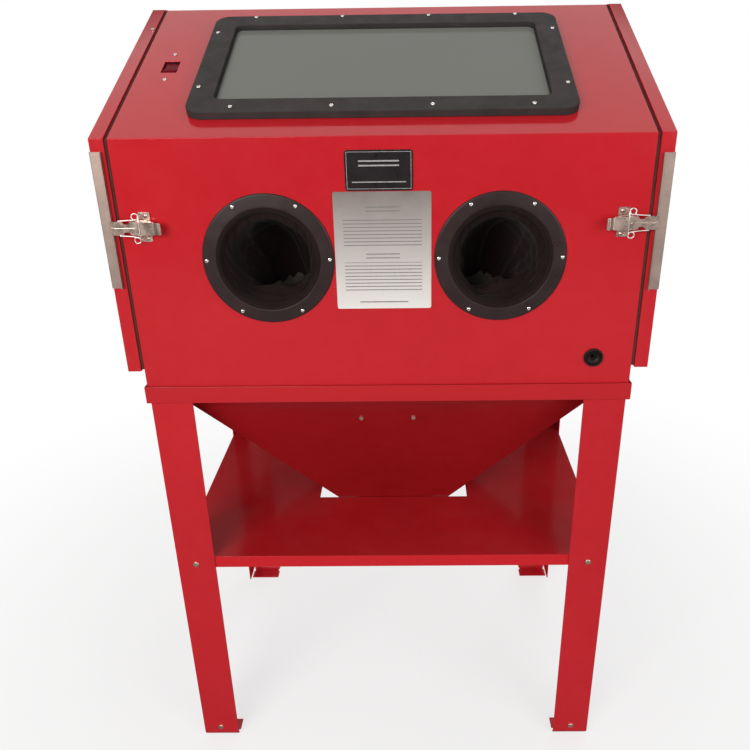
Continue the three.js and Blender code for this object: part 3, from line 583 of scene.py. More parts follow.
def skin(mesh, rings, closed=False):
    """Faces between rings of equal length; closed joins the last ring to the first."""
    for near, far in zip(rings, rings[1:] + rings[:int(closed)]):
        for i in range(len(near)):
            j = (i + 1) % len(near)
            mesh.faces.new((near[i], near[j], far[j], far[i]))


def skin_turned(mesh, rings, closed=False):
    """As skin, but a ring may be a single point, met by triangles."""
    for near, far in zip(rings, rings[1:] + rings[:int(closed)]):
        sides = max(len(near), len(far))
        for i in range(sides):
            j = (i + 1) % sides
            corners = (
                near[i % len(near)], far[i % len(far)], far[j % len(far)], near[j % len(near)]
            )
            mesh.faces.new(list(dict.fromkeys(corners)))


def lathe(mesh, profile, axis, at, sides=48, closed=False):
    """Turns a profile of (radius, height along the axis); closed joins its ends."""
    axis, across, up = basis(axis)
    rings = []
    for radius, height in profile:
        centre = Vector(at) + axis * height
        if radius < 1e-6:
            rings.append([mesh.verts.new(centre)])
        else:
            rings.append(circle(mesh, centre, across, up, radius, sides))
    skin_turned(mesh, rings, closed)


# the axes of a prism: across its outline, up its outline, and the way it runs
PLAN = ((1, 0, 0), (0, 1, 0), UP)
FORWARD = ((1, 0, 0), UP, FRONT)
REARWARD = ((1, 0, 0), UP, BACK)


def prism(mesh, outline, axes, start, end, origin=(0, 0, 0)):
    """A flat outline of (x, y) in the first two axes, run along the third."""
    across, up, along = (Vector(axis) for axis in axes)
    near, far = (
        [mesh.verts.new(Vector(origin) + across * x + up * y + along * run) for x, y in outline]
        for run in (start, end)
    )
    mesh.faces.new(near[::-1])
    mesh.faces.new(far)
    skin(mesh, [near, far])


def smooth_path(points, per):
    """A Catmull-Rom curve through the points, with per steps to a span."""
    knots = [Vector(q) for q in points]
    knots = [knots[0] * 2 - knots[1]] + knots + [knots[-1] * 2 - knots[-2]]
    path = []
    for before, start, end, after in zip(knots, knots[1:], knots[2:], knots[3:]):
        for k in range(per):
            share = k / per
            path.append(0.5 * (
                (2 * start) + (end - before) * share
                + (2 * before - 5 * start + 4 * end - after) * share * share
                + (3 * start - before - 3 * end + after) * share ** 3
            ))
    path.append(knots[-2])
    return path


def tube(mesh, path, radius, sides=12):
    """A capped round tube; radius is one number, or a list with one for each point."""
    path = [Vector(q) for q in path]
    count = len(path)
    radii = radius if isinstance(radius, list) else [radius] * count
    tangents = [
        (path[min(i + 1, count - 1)] - path[max(i - 1, 0)]).normalized() for i in range(count)
    ]
    across = basis(tangents[0])[1]
    rings = []
    for point, tangent, size in zip(path, tangents, radii):
        across = (across - tangent * across.dot(tangent)).normalized()
        rings.append(circle(mesh, point, across, tangent.cross(across), size, sides))
    skin(mesh, rings)
    mesh.faces.new(rings[0][::-1])
    mesh.faces.new(rings[-1])
    return rings


def arc(x, y, radius, start, end, steps):
    angles = (radians(start + (end - start) * k / steps) for k in range(steps + 1))
    return [(x + radius * cos(angle), y + radius * sin(angle)) for angle in angles]


SCREW_SIDES = 28
# the rings of a screw head, as shares of its radius
SCREW_RINGS = (0.0, 0.10, 0.17, 0.24, 0.34, 0.45, 0.55, 0.62, 0.74, 0.86, 0.95, 1.0)


def screw_into(mesh, at, normal, radius, height, twist=0.3, cross=True):
    """A domed screw head on a surface, with a cross recess if asked."""
    axis, across, up = basis(normal)
    at = Vector(at)
    rings = []
    for share in SCREW_RINGS:
        ring = []
        for i in range(SCREW_SIDES if share else 1):
            angle = tau * i / SCREW_SIDES
            rise = height * (0.42 + 0.58 * sqrt(1 - (share * 0.96) ** 2))
            if share == 1.0:
                rise = height * 0.44
            off_arm = min(abs(share * cos(angle)), abs(share * sin(angle)))
            if cross and share < 0.58 and off_arm < 0.105:
                rise -= height * 0.46 * (1 - (share / 0.62) ** 4)
            outward = across * cos(angle + twist) + up * sin(angle + twist)
            ring.append(mesh.verts.new(at + axis * rise + outward * radius * share))
        rings.append(ring)
    rings.append(circle(mesh, at, across, up, radius, SCREW_SIDES, twist))
    rings.append([mesh.verts.new(at)])
    skin_turned(mesh, rings)


def screws(name, places, radius, height, mat=CHROME, body="cabinet"):
    """Cross-head screws at places of (point, normal), each turned differently."""
    mesh = bmesh.new()
    for i, (at, normal) in enumerate(places):
        screw_into(mesh, at, normal, radius, height, twist=0.35 + 1.7 * i)
    piece(name, mesh, mat, body=body, smooth=38)


# ---------------------------------------------------------------- CAD nodes that are kept
def dress(node, mat, width, segments=2, angle=28):
    """Gives a CAD node its material and rounds its edges by width, in millimetres."""
    obj = nodes[node]
    data = obj.data
    for extra in ("custom_normal", "sharp_edge", "sharp_face"):
        if extra in data.attributes:
            data.attributes.remove(data.attributes[extra])
    smooth_faces(data)
    if not data.materials:
        data.materials.append(mat)
    for i in range(len(data.materials)):
        data.materials[i] = mat
    obj.modifiers.new("weld", "WELD").merge_threshold = 2e-5
    planar = obj.modifiers.new("planar", "DECIMATE")
    planar.decimate_type = "DISSOLVE"
    planar.angle_limit = radians(0.6)
    edges = obj.modifiers.new("edges", "BEVEL")
    edges.width = width / 1000
    edges.segments = segments
    edges.limit_method = "ANGLE"
    edges.angle_limit = radians(angle)
    edges.use_clamp_overlap = False
    edges.miter_outer = "MITER_ARC"
    normals = obj.modifiers.new("normals", "WEIGHTED_NORMAL")
    normals.keep_sharp = False
    normals.weight = 80


# node, material, edge width, and where they differ from the usual: segments, least edge angle
DRESSING = (
    ("cabinet_shell", RED, 0.9, 3),
    ("hopper", RED_HOPPER_SHADED, 0.9, 3),
    *((node, RED, 1.0, 3) for node in nodes if node.startswith("leg_")),
    ("lower_shelf", RED_SHELF_SHADED, 0.9, 3),
    *((side + "_door", RED, 0.9, 3) for side, _ in SIDES),
    *((side + "_door_seal", FOAM, 0.8) for side, _ in SIDES),
    *(
        (f"{side}_door_hinge_{place}_{leaf}_leaf", ZINC, 0.3, 2, 40)
        for side, _ in SIDES for place in ("lower", "upper") for leaf in ("frame", "door")
    ),
    ("gate_frame", GALV, 0.4),
    ("hopper_slide_gate", GALV, 0.4),
    ("window_frame", FRAME_BLACK, 1.3, 3),
    ("window_gasket", RUBBER, 0.2),
    ("window_glass", GLASS, 0.4),
    ("switch_housing", HOUSING, 0.4),
    ("switch_rocker", ROCKER, 0.7, 3),
    ("label_plate_upper", LABEL_UPPER, 0.15),
    ("label_plate_lower", LABEL_LOWER, 0.15),
    ("grate_rail_front", GALV, 0.4),
    ("grate_rail_rear", GALV, 0.4),
    ("work_grate", GRATE, 0.7),
    ("lamp_housing", GALV, 0.8),
    ("exhaust_baffle", GALV, 0.5),
    ("air_inlet_coupler", DARK_FITTING, 0.3),
    ("gun_trigger", PLASTIC, 1.0, 3),
    ("gun_trigger_pin", ZINC, 0.2),
    ("gun_hook", ZINC, 0.4, 2, 45),
    ("media_pickup_tube", ZINC, 0.4, 2, 50),
)
for row in DRESSING:
    dress(*row)

# ---------------------------------------------------------------- arm ports
PORT_BORE = 80.2
PORT_SCREW_CIRCLE = 95


def port_ring(side):
    """A flat flange, rounded at its rim and at its inner edge, with six screws."""
    low, high = box_mm(side + "_port_ring")
    x, z, back = (low.x + high.x) / 2, (low.z + high.z) / 2, high.y
    rim = (high.x - low.x) / 2
    profile = [(PORT_BORE, 0.0), (rim, 0.0)]
    profile += [
        (rim - 2.6 + 2.6 * cos(a), 0.8 + 2.2 * sin(a)) for a in map(radians, range(0, 91, 18))
    ]
    profile += [
        (PORT_BORE + inset, height)
        for inset, height in ((4.0, 3.05), (1.6, 3.3), (0.8, 3.2), (0.2, 2.7), (0, 1.9))
    ]
    mesh = bmesh.new()
    lathe(mesh, profile, FRONT, (x, back, z), 144, closed=True)
    piece(side + "_port_ring_turned", mesh, BLACK, smooth=40,
          replaces=side + "_port_ring")
    around = [radians(a) for a in range(0, 360, 60)]
    reach = PORT_SCREW_CIRCLE
    places = [((x + reach * cos(a), back - 3.0, z + reach * sin(a)), FRONT) for a in around]
    screws(side + "_port_ring_screws", places, radius=3.05, height=2.1)


for side, _ in SIDES:
    port_ring(side)

# ---------------------------------------------------------------- gloves
# Both are shaped on the left and the right one is mirrored.
PORT_X = -179
PORT_Z = middle_mm("left_port_ring").z
# the sleeve from port to wrist: y, drop below the port, shift in x, radius, tilt in degrees
SLEEVE_STATIONS = (
    (-276.0, 0, 0, 82.6, 0), (-277.3, 0, 0, 81.2, 0), (-276.0, 0, 0, 77.2, 0),
    (-271.5, 0, 0, 75.0, 0), (-258, 0.2, 0, 74.4, 1), (-240, 1.2, 0, 72.6, 3),
    (-222, 3.4, 1, 70.5, 7), (-200, 7.8, 2, 67, 14), (-180, 14.5, 3, 63.5, 21),
    (-160, 24.8, 5, 59, 31), (-130, 50.8, 9, 52, 48), (-110, 79.8, 13, 45, 62),
    (-98, 105.8, 17, 41.5, 70),
)
SLEEVE_PATH = [(y, PORT_Z - drop, *rest) for y, drop, *rest in SLEEVE_STATIONS]
SLEEVE_SIDES, SLEEVE_ROWS = 120, 97
FOLDS = 8

WRIST = Vector((PORT_X + 15, -104, PORT_Z - 89.8))
HAND_DOWN = Vector((0.13, 0.33, -0.935)).normalized()
HAND_ACROSS = Vector((1, 0, 0))
HAND_ACROSS = (HAND_ACROSS - HAND_DOWN * HAND_ACROSS.dot(HAND_DOWN)).normalized()
HAND_THROUGH = HAND_DOWN.cross(HAND_ACROSS).normalized()
# start and end as (across, down, through) from the wrist, their radii, and the flattening
PALM = (
    ((0, -14, 0), (1, 10, 0), 38, 36, 0.86),
    ((-17, 34, 0), (-14, 56, 1), 22, 21, 0.78),
    ((0, 30, 0), (1, 58, 1), 24, 22, 0.78),
    ((17, 32, 0), (15, 56, 1), 22, 20, 0.78),
)
THUMB = (
    ((26, 22, -3), (44, 50, -10), 13.5, 11.5, 0.95),
    ((44, 50, -10), (47, 72, -15), 11.5, 9.8, 0.95),
)
# (across, down) at the root, the middle joint and the tip, then the radius and the bend
FINGERS = (
    (-30, 66, -38, 95, -35, 112, 9.6, -5),
    (-11, 70, -14, 104, -11, 119, 10.2, -9),
    (9, 70, 11, 102, 12, 118, 10.0, -7),
    (27, 64, 34, 90, 35, 104, 8.9, -3),
)


def clamp(value):
    return min(1.0, max(0.0, value))


def wrapped(angle):
    return (angle + pi) % tau - pi


def sleeve_at(along, angle, extra):
    """A point of the sleeve: along runs 0 to 1 from port to wrist, angle turns round it."""
    place = along * (len(SLEEVE_PATH) - 1)
    i = min(int(place), len(SLEEVE_PATH) - 2)
    y, z, shift, radius, tilt = (
        p + (q - p) * (place - i) for p, q in zip(SLEEVE_PATH[i], SLEEVE_PATH[i + 1])
    )
    tilt = radians(tilt)
    out, rise = cos(angle) * (radius + extra), sin(angle) * (radius + extra)
    return Vector((PORT_X + shift + out, y + rise * sin(tilt), z + rise * cos(tilt)))


def sleeve_points(seed):
    rng = np.random.default_rng(seed)
    # lengthwise folds: angle, width, depth, wander, start
    folds = [
        (tau * (k + rng.uniform(-0.32, 0.32)) / FOLDS, rng.uniform(0.05, 0.11),
         rng.uniform(8.0, 17.0), rng.uniform(-0.8, 0.8), rng.uniform(0.05, 0.42))
        for k in range(FOLDS)
    ]
    lean = rng.uniform(-0.35, 0.35)
    points = []
    for j in range(SLEEVE_ROWS):
        t = j / (SLEEVE_ROWS - 1)
        grow = clamp((t - 0.20) * 3.2) * clamp((0.99 - t) * 9)
        heap = np.exp(-(((t - 0.56) / 0.17) ** 2))
        for i in range(SLEEVE_SIDES):
            a = tau * i / SLEEVE_SIDES
            extra = 0.0
            for at, width, depth, wander, start in folds:
                off = wrapped(a - at - wander * sin(2.6 * t + at))
                swell = clamp((t - 0.12 - start * 0.5) / (0.16 + start))
                pinch = np.exp(-abs(off) / width)
                extra -= depth * swell * pinch * (0.75 + 0.25 * cos(7 * t + at))
            # slack cloth lies along the bottom in rolls
            off = wrapped(a + pi / 2 - lean)
            low = np.exp(-((off / 0.80) ** 2))
            rolls = 1.0 + 0.42 * sin(t * 66 + 2.6 * off + seed)
            rolls += 0.45 * noise.noise(Vector((off * 1.4, t * 9, seed)))
            extra -= 22.0 * low * heap * rolls
            # soft buckles along the whole sleeve, and closer ones past the bend
            buckle = Vector((cos(a) * 1.6 + seed, sin(a) * 1.6, t * 2.2 + seed))
            extra += 3.0 * noise.noise(buckle)
            ripple = Vector((cos(a) * 1.2, sin(a) * 1.2 + seed, t * 13.0))
            extra += 3.2 * clamp((t - 0.35) * 5) * noise.noise(ripple)
            extra = max(min(extra, 1.0), -34.0)
            points.append(to_metres(sleeve_at(t, a, extra * grow - 1.2)))
    return points


def drape(obj):
    """Lets the sleeve sag as cloth between its fixed ends, then keeps the sagged shape."""
    PINNED_AT_PORT, PINNED_AT_WRIST = 28, 3  # rows
    LAST_FRAME = 26
    FURTHEST = 0.014  # no point moves further than this, in metres
    data = obj.data
    rest = np.array([v.co for v in data.vertices], float)
    pin = obj.vertex_groups.new(name="pin")
    for j in range(SLEEVE_ROWS):
        fixed = j < PINNED_AT_PORT or j >= SLEEVE_ROWS - PINNED_AT_WRIST
        row = [j * SLEEVE_SIDES + i for i in range(SLEEVE_SIDES)]
        pin.add(row, 1.0 if fixed else 0.0, "REPLACE")
    sim = obj.modifiers.new("cloth", "CLOTH")
    settings = dict(
        quality=7, mass=0.28, tension_stiffness=9, compression_stiffness=9, shear_stiffness=4,
        bending_stiffness=0.9, tension_damping=8, compression_damping=8, bending_damping=1.2,
        air_damping=2, shrink_min=-0.05, vertex_group_mass="pin",
    )
    for key, value in settings.items():
        setattr(sim.settings, key, value)
    sim.collision_settings.use_collision = False
    sim.collision_settings.use_self_collision = False
    sim.point_cache.frame_start, sim.point_cache.frame_end = 1, LAST_FRAME
    for frame in range(1, LAST_FRAME + 1):
        scene.frame_set(frame)
    sagged = obj.evaluated_get(bpy.context.evaluated_depsgraph_get())
    move = np.array([v.co for v in sagged.data.vertices], float) - rest
    length = np.linalg.norm(move, axis=1, keepdims=True)
    move *= np.minimum(1.0, FURTHEST / np.maximum(length, 1e-9))
    obj.modifiers.clear()
    obj.vertex_groups.clear()
    grid = (rest + move).reshape(SLEEVE_ROWS, SLEEVE_SIDES, 3)
    # light smoothing round the rows takes out the corners left by the limit
    middle = (np.roll(grid, 1, 1) + np.roll(grid, -1, 1)) / 2
    grid[26:-2] = grid[26:-2] * 0.6 + middle[26:-2] * 0.4
    data.vertices.foreach_set("co", grid.reshape(-1).astype(np.float32))
    data.update()
    scene.frame_set(1)


def sleeve(name, seed):
    around = SLEEVE_SIDES
    faces = [
        (row + i, row + (i + 1) % around, row + around + (i + 1) % around, row + around + i)
        for row in range(0, (SLEEVE_ROWS - 1) * around, around) for i in range(around)
    ]
    data = bpy.data.meshes.new(name)
    data.from_pydata(sleeve_points(seed), [], faces)
    data.update()
    obj = add_object(name, data)
    drape(obj)
    return obj


def capsule(mesh, start, end, start_radius, end_radius, flat):
    """A round-ended limb of the hand, flattened through its thickness."""
    start, end = (
        WRIST + HAND_ACROSS * x + HAND_DOWN * y + HAND_THROUGH * z for x, y, z in (start, end)
    )
    steps = 10
    along = (end - start).normalized()
    shares = [k / steps for k in range(1, steps)]
    points = [start - along * start_radius * cos(a) for a in (0.0, 0.5, 1.0)]
    points += [start + (end - start) * k / steps for k in range(1, steps)]
    points += [end + along * end_radius * cos(a) for a in (1.0, 0.5, 0.0)]
    radii = [0.05, start_radius * sin(0.5), start_radius * sin(1.0)]
    radii += [start_radius + (end_radius - start_radius) * share for share in shares]
    radii += [end_radius * sin(1.0), end_radius * sin(0.5), 0.05]
    for ring in tube(mesh, points, radii, 20):
        for vert in ring:
            vert.co -= HAND_THROUGH * (vert.co - start).dot(HAND_THROUGH) * (1 - flat)


def crease(x, down, through):
    """How far the hand's surface swells at a place measured from the wrist."""
    swell = 1.5 * noise.noise(Vector((x * 0.035, down * 0.05, through * 0.05)))
    swell += 0.8 * noise.noise(Vector((x * 0.09, down * 0.14, through * 0.09)))
    if down > 56:  # across the fingers
        swell += 0.55 * sin(down * 0.62 + x * 0.08) * min(1, (down - 56) / 14)
    if down < 24:  # along the cuff
        swell += 0.9 * sin(atan2(through, x) * 9 + down * 0.06)
    return swell


def cut_away(mesh, unwanted):
    bmesh.ops.delete(mesh, geom=[v for v in mesh.verts if unwanted(v)], context="VERTS")


def hand(name):
    """A limp work glove hanging from the wrist, its parts fused and softened."""
    mesh = bmesh.new()
    for part in PALM:
        capsule(mesh, *part)
    for root_x, root, joint_x, joint, tip_x, tip, radius, bend in FINGERS:
        knuckle = (joint_x, joint, bend * 0.5)
        capsule(mesh, (root_x * 0.92, root - 12, 0), knuckle, radius + 1.2, radius, 0.95)
        capsule(mesh, knuckle, (tip_x, tip - 2, bend * 1.6), radius, radius - 1.0, 0.95)
    for part in THUMB:
        capsule(mesh, *part)
    data = bpy.data.meshes.new(name)
    mesh.to_mesh(data)
    mesh.free()
    obj = add_object(name, data)
    fuse = obj.modifiers.new("fuse", "REMESH")
    fuse.mode = "VOXEL"
    fuse.voxel_size = 2.6
    soften = obj.modifiers.new("soften", "SMOOTH")
    soften.factor = 0.5
    soften.iterations = 7
    fused = obj.evaluated_get(bpy.context.evaluated_depsgraph_get())
    made = bpy.data.meshes.new_from_object(fused)
    bpy.data.objects.remove(obj)
    obj = add_object(name, made)
    normals = [v.normal.copy() for v in made.vertices]
    for vert, normal in zip(made.vertices, normals):
        off = vert.co - WRIST
        swell = crease(off.dot(HAND_ACROSS), off.dot(HAND_DOWN), off.dot(HAND_THROUGH))
        vert.co = to_metres(vert.co + normal * swell)
    made.update()
    # the cuff is open: the cap over it is cut away
    mesh = bmesh.new()
    mesh.from_mesh(made)
    cut = Vector(to_metres(WRIST)) - HAND_DOWN * 0.004
    cut_away(mesh, lambda v: (v.co - cut).dot(HAND_DOWN) < 0)
    mesh.to_mesh(made)
    mesh.free()
    return obj


def settle(obj, mat, thickness, offset=-1.0, levels=0):
    """Finishes a part of the glove: its thickness, in millimetres, and its smoothing."""
    smooth_faces(obj.data)
    obj.data.materials.append(mat)
    solid = obj.modifiers.new("cloth thickness", "SOLIDIFY")
    solid.thickness = thickness / 1000
    solid.offset = offset
    if levels:
        rounding = obj.modifiers.new("round", "SUBSURF")
        rounding.levels = rounding.render_levels = levels
    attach(obj, "cabinet")


def lining(side, sign, hand_data):
    """The pale lining just inside the cuff: the first 30 mm of the hand, drawn inwards."""
    mesh = bmesh.new()
    mesh.from_mesh(hand_data)
    mesh.normal_update()
    mirror = Vector((-sign, 1, 1))
    wrist = Vector(to_metres(WRIST)) * mirror
    down = HAND_DOWN * mirror
    cut_away(mesh, lambda v: (v.co - wrist).dot(down) > 0.030)
    for vert in mesh.verts:
        vert.co -= vert.normal * 0.0019
    data = bpy.data.meshes.new(side + "_glove_lining")
    mesh.to_mesh(data)
    mesh.free()
    settle(add_object(side + "_glove_lining", data), LINING, thickness=0.8)


def cuff_band(side, sign):
    """A flat oval band round the sleeve at the wrist."""
    mesh = bmesh.new()
    points = []
    for i in range(60):
        point = sleeve_at(0.975, tau * i / 60, 0.6)
        point.x *= -sign
        points.append(point)
    middle = sum(points, Vector()) / len(points)
    axis = (points[0] - middle).cross(points[15] - middle).normalized()
    rings = [
        [mesh.verts.new(p + (p - middle).normalized() * 1.3 * cos(a) + axis * 5.5 * sin(a))
         for p in points]
        for a in (tau * k / 10 for k in range(10))
    ]
    skin(mesh, rings, closed=True)
    piece(side + "_glove_cuff_band", mesh, RUBBER, smooth=60)


SLEEVE_SEEDS = {"left": 17, "right": 29}
for side, sign in SIDES:
    sleeve_obj = sleeve(side + "_glove_sleeve", SLEEVE_SEEDS[side])
    hand_obj = hand(side + "_glove_hand")
    if sign > 0:
        for obj in (sleeve_obj, hand_obj):
            obj.data.transform(Matrix.Diagonal((-1, 1, 1, 1)))
            obj.data.flip_normals()
    settle(sleeve_obj, FABRIC, thickness=1.4, offset=1.0, levels=1)
    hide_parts(side + "_glove")
    settle(hand_obj, GLOVE_RUBBER, thickness=1.6)
    lining(side, sign, hand_obj.data)
    cuff_band(side, sign)

# ---------------------------------------------------------------- window and switch
# the height of the window frame's face above the panel
FRAME_FACE = (box_mm("window_frame")[1].z - on_slope(0, 371.6, 0).z) / SLOPE_OUT.z
frame_screws = [(x, y) for y in (61.5, 364.5) for x in (-226.5, -75.5, 75.5, 226.5)]
frame_screws += [(x, y) for x in (-284.5, 284.5) for y in (122, 307)]
screws("window_frame_screws", [(on_slope(x, y, FRAME_FACE), SLOPE_OUT) for x, y in frame_screws],
       radius=3.6, height=2.6)
screws("switch_panel_screws", [(on_slope(-351, y, 0.1), SLOPE_OUT) for y in (256.6, 171.7)],
       radius=3.5, height=2.2)
screws("left_door_edge_screw", [(on_slope(-409.6, 350, 1.3), SLOPE_OUT)],
       radius=2.8, height=1.7, body="left_door_body")


def glass_bead():
    """The soft rubber bead round the glass."""
    half_x, half_y, corner = 256.4, 123.7, 11.4
    middle_y, lift = 211, 5.0
    loop = []  # x, y, outward x, outward y
    for sign_x, sign_y, start in ((1, 1, 0), (-1, 1, 90), (-1, -1, 180), (1, -1, 270)):
        for i in range(9):
            a = radians(start + 90 * i / 8)
            x, y = sign_x * (half_x - corner), sign_y * (half_y - corner)
            loop.append((x + corner * cos(a), y + corner * sin(a), cos(a), sin(a)))
    mesh = bmesh.new()
    rings = []
    for k in range(8):
        out, rise = cos(tau * k / 8), 0.9 * sin(tau * k / 8)
        rings.append([
            mesh.verts.new(on_slope(x + out_x * out, middle_y + y + out_y * out, lift + rise))
            for x, y, out_x, out_y in loop
        ])
    skin(mesh, rings, closed=True)
    piece("window_glass_bead", mesh, RUBBER, smooth=60)


glass_bead()

# ---------------------------------------------------------------- hopper screws and stand bolts
# the hopper's front plate: the y and z of its top edge, and how far it runs back and drops
HOPPER_Y, HOPPER_Z, HOPPER_RUN, HOPPER_DROP = -250, 776.6, 207, 376.6
SCREW_Z = 714
screw_y = HOPPER_Y + (HOPPER_Z - SCREW_Z) * HOPPER_RUN / HOPPER_DROP - 0.4
screws("hopper_front_screws",
       [((x, screw_y, SCREW_Z), (0, -HOPPER_DROP, -HOPPER_RUN)) for x in (-50, 43)],
       radius=4.6, height=2.8, mat=WARM_ZINC)
bolts = bmesh.new()
for x in (-363, 363):
    for sign_y in (-1, 1):
        for z in (443, 27):
            screw_into(bolts, (x, sign_y * 276.0, z), (0, sign_y, 0),
                       radius=5.6, height=2.9, cross=False)
piece("stand_bolts", bolts, WARM_ZINC, smooth=40)


# ---------------------------------------------------------------- catch strips
def door_strip(side, mirror):
    """An angle on the door, with an upstand that the latch's claw hooks behind."""
    low, high = box_mm(side + "_door_strip")
    outer = -high.x if mirror else low.x
    front, back = low.y, high.y
    outline = [
        (outer, back), (outer, front + 1.6), *arc(outer + 1.6, front + 1.6, 1.6, 180, 270, 4),
        (-412.0, front), (-411.3, front - 0.3), (-410.9, front - 1.0), (-410.9, -283.1),
        (-410.6, -283.4), (-410.0, -283.4), (-409.7, -283.1), (-409.7, front - 0.2),
        (-410.0, front + 0.8), (-410.9, front + 1.25), (outer + 2.4, front + 1.25),
        (outer + 1.2, front + 2.4), (outer + 1.2, back),
    ]
    mesh = bmesh.new()
    prism(mesh, outline, PLAN, low.z, high.z)
    piece(side + "_door_strip_folded", mesh, ZINC_DULL, body=side + "_door_body", bevel=0.25,
          mirror=mirror, replaces=side + "_door_strip")


for side, sign in SIDES:
    door_strip(side, sign > 0)

# ---------------------------------------------------------------- draw latches
# Shaped on the left; the right one is mirrored.
PIN_X, PIN_Y = -365.0, -282.5  # the lever's pin
CLAW_X, CLAW_Y = PIN_X + 10, PIN_Y - 2  # the claw's pin
LATCH_Z = 1073.0
LATCH_MIDDLE = (0, 0, LATCH_Z)
PLATE_FACE = -276.7

# the lever's folded sheet: x from its pin, y, half width
LEVER_STATIONS = (
    (-1.9, -287.6, 9.4), (-1.2, -288.4, 9.9), (1.0, -288.75, 9.95), (6.0, -288.8, 9.95),
    (12.0, -288.8, 9.95), (17.5, -288.7, 9.95), (19.6, -288.6, 9.6), (21.2, -288.9, 9.0),
    (22.9, -289.9, 8.7), (24.4, -291.2, 8.7), (26.0, -292.3, 8.9), (27.6, -292.8, 9.0),
    (29.2, -292.6, 9.0), (30.4, -291.8, 8.6), (30.9, -290.8, 7.8),
)
LEVER_SHEET = 1.2
# one edge of the claw plate: x from the lever's pin, z from the latch's middle
CLAW_EDGE = [
    (-47.0, -10.3), (-30.0, -10.3), *arc(-30.0, -8.9, 1.4, -90, -40, 3), (-26.6, -6.6),
    (-25.2, -6.0), (-19.6, -5.8), (-18.2, -6.6), (-17.4, -8.4),
    *arc(-15.6, -8.9, 1.6, 200, 270, 3), (-4.8, -10.3),
]
CLAW_HOOK = (  # x from the lever's pin, y
    (-46.4, -285.0), (-46.9, -284.9), (-47.35, -284.3),
    (-47.4, -281.4), (-46.3, -281.4), (-46.2, -283.9),
)


def latch_base(side, mirror):
    """A plate with two rivets, two pips and a pair of folded ears that hold the pin."""
    mesh = bmesh.new()
    corners = ((10.6, -21.1, -90), (10.6, 21.1, 0), (-4.4, 21.1, 90), (-4.4, -21.1, 180))
    outline = [
        point for x, z, start in corners
        for point in arc(PIN_X + x, LATCH_Z + z, 1.4, start, start + 90, 4)
    ]
    prism(mesh, outline, FORWARD, 275.3, -PLATE_FACE)
    ear = [
        (PIN_X - 2.2, -276.4), (PIN_X - 2.2, -282.4), *arc(PIN_X, -282.6, 2.5, 190, 350, 8),
        (PIN_X + 4.6, -279.4), (PIN_X + 5.5, -276.4),
    ]
    pin_head = [(0, 0), (1.5, 0), (2.1, 0.5), (2.1, 1.1), (1.4, 1.7), (0, 1.8)]
    rivet = [(0, 0), (3.2, 0), (3.2, 0.5), (2.7, 1.2), (1.6, 1.75), (0.7, 1.9), (0, 1.9)]
    pip = [(0, 0), (1.4, 0), (1.4, 0.5), (0.9, 0.9), (0, 1.0)]
    for end in (-1, 1):
        prism(mesh, ear, PLAN, -0.7, 0.7, origin=(0, 0, LATCH_Z + end * 6.9))
        lathe(mesh, pin_head, (0, 0, end), (PIN_X, PIN_Y, LATCH_Z + end * 10.2), 16)
        lathe(mesh, rivet, FRONT, (PIN_X + 5.6, PLATE_FACE, LATCH_Z + end * 17.4), 24)
        lathe(mesh, pip, FRONT, (PIN_X + 0.4, PLATE_FACE, LATCH_Z + end * 19.9), 14)
    lathe(mesh, [(0, -11), (1.4, -11), (1.4, 11), (0, 11)], UP, (PIN_X, PIN_Y, LATCH_Z), 16)
    piece(side + "_latch_base_plate", mesh, LATCH, bevel=0.25, mirror=mirror,
          replaces=side + "_latch_base")


def bent_sheet(mesh, stations, thick):
    """A bent strip of sheet through stations of (x, y, half width)."""
    rows = []
    for i, (x, y, half) in enumerate(stations):
        x0, y0, _ = stations[max(i - 1, 0)]
        x1, y1, _ = stations[min(i + 1, len(stations) - 1)]
        length = hypot(x1 - x0, y1 - y0)
        off_x, off_y = -(y1 - y0) / length * thick / 2, (x1 - x0) / length * thick / 2
        levels = (-half, -half + 0.9, -half * 0.5, 0.0, half * 0.5, half - 0.9, half)
        row = [mesh.verts.new((x + off_x, y + off_y, LATCH_Z + z)) for z in levels]
        row += [mesh.verts.new((x - off_x, y - off_y, LATCH_Z + z)) for z in reversed(levels)]
        rows.append(row)
    skin(mesh, rows)
    for row, step in ((rows[0], -1), (rows[-1], 1)):
        for k in range(6):
            mesh.faces.new((row[k], row[k + 1], row[12 - k], row[13 - k])[::step])


def latch_lever(side, mirror):
    """A folded channel, and a tongue that curls outwards at its end."""
    mesh = bmesh.new()
    cheek = [
        (PIN_X - 2.8, -280.0), (PIN_X - 3.3, -284.5), (PIN_X - 1.4, -288.4),
        (PIN_X + 19.6, -288.4), (PIN_X + 19.0, -286.2), (CLAW_X + 4.0, -281.9),
        (CLAW_X, -281.1),
    ]
    for end in (-1, 1):
        prism(mesh, cheek, PLAN, -0.6, 0.6, origin=(0, 0, LATCH_Z + end * 9.35))
    bent_sheet(mesh, [(PIN_X + x, y, half) for x, y, half in LEVER_STATIONS], LEVER_SHEET)
    piece(side + "_latch_lever_channel", mesh, LATCH, body=side + "_latch_lever_body",
          bevel=0.22, mirror=mirror, replaces=side + "_latch_lever")


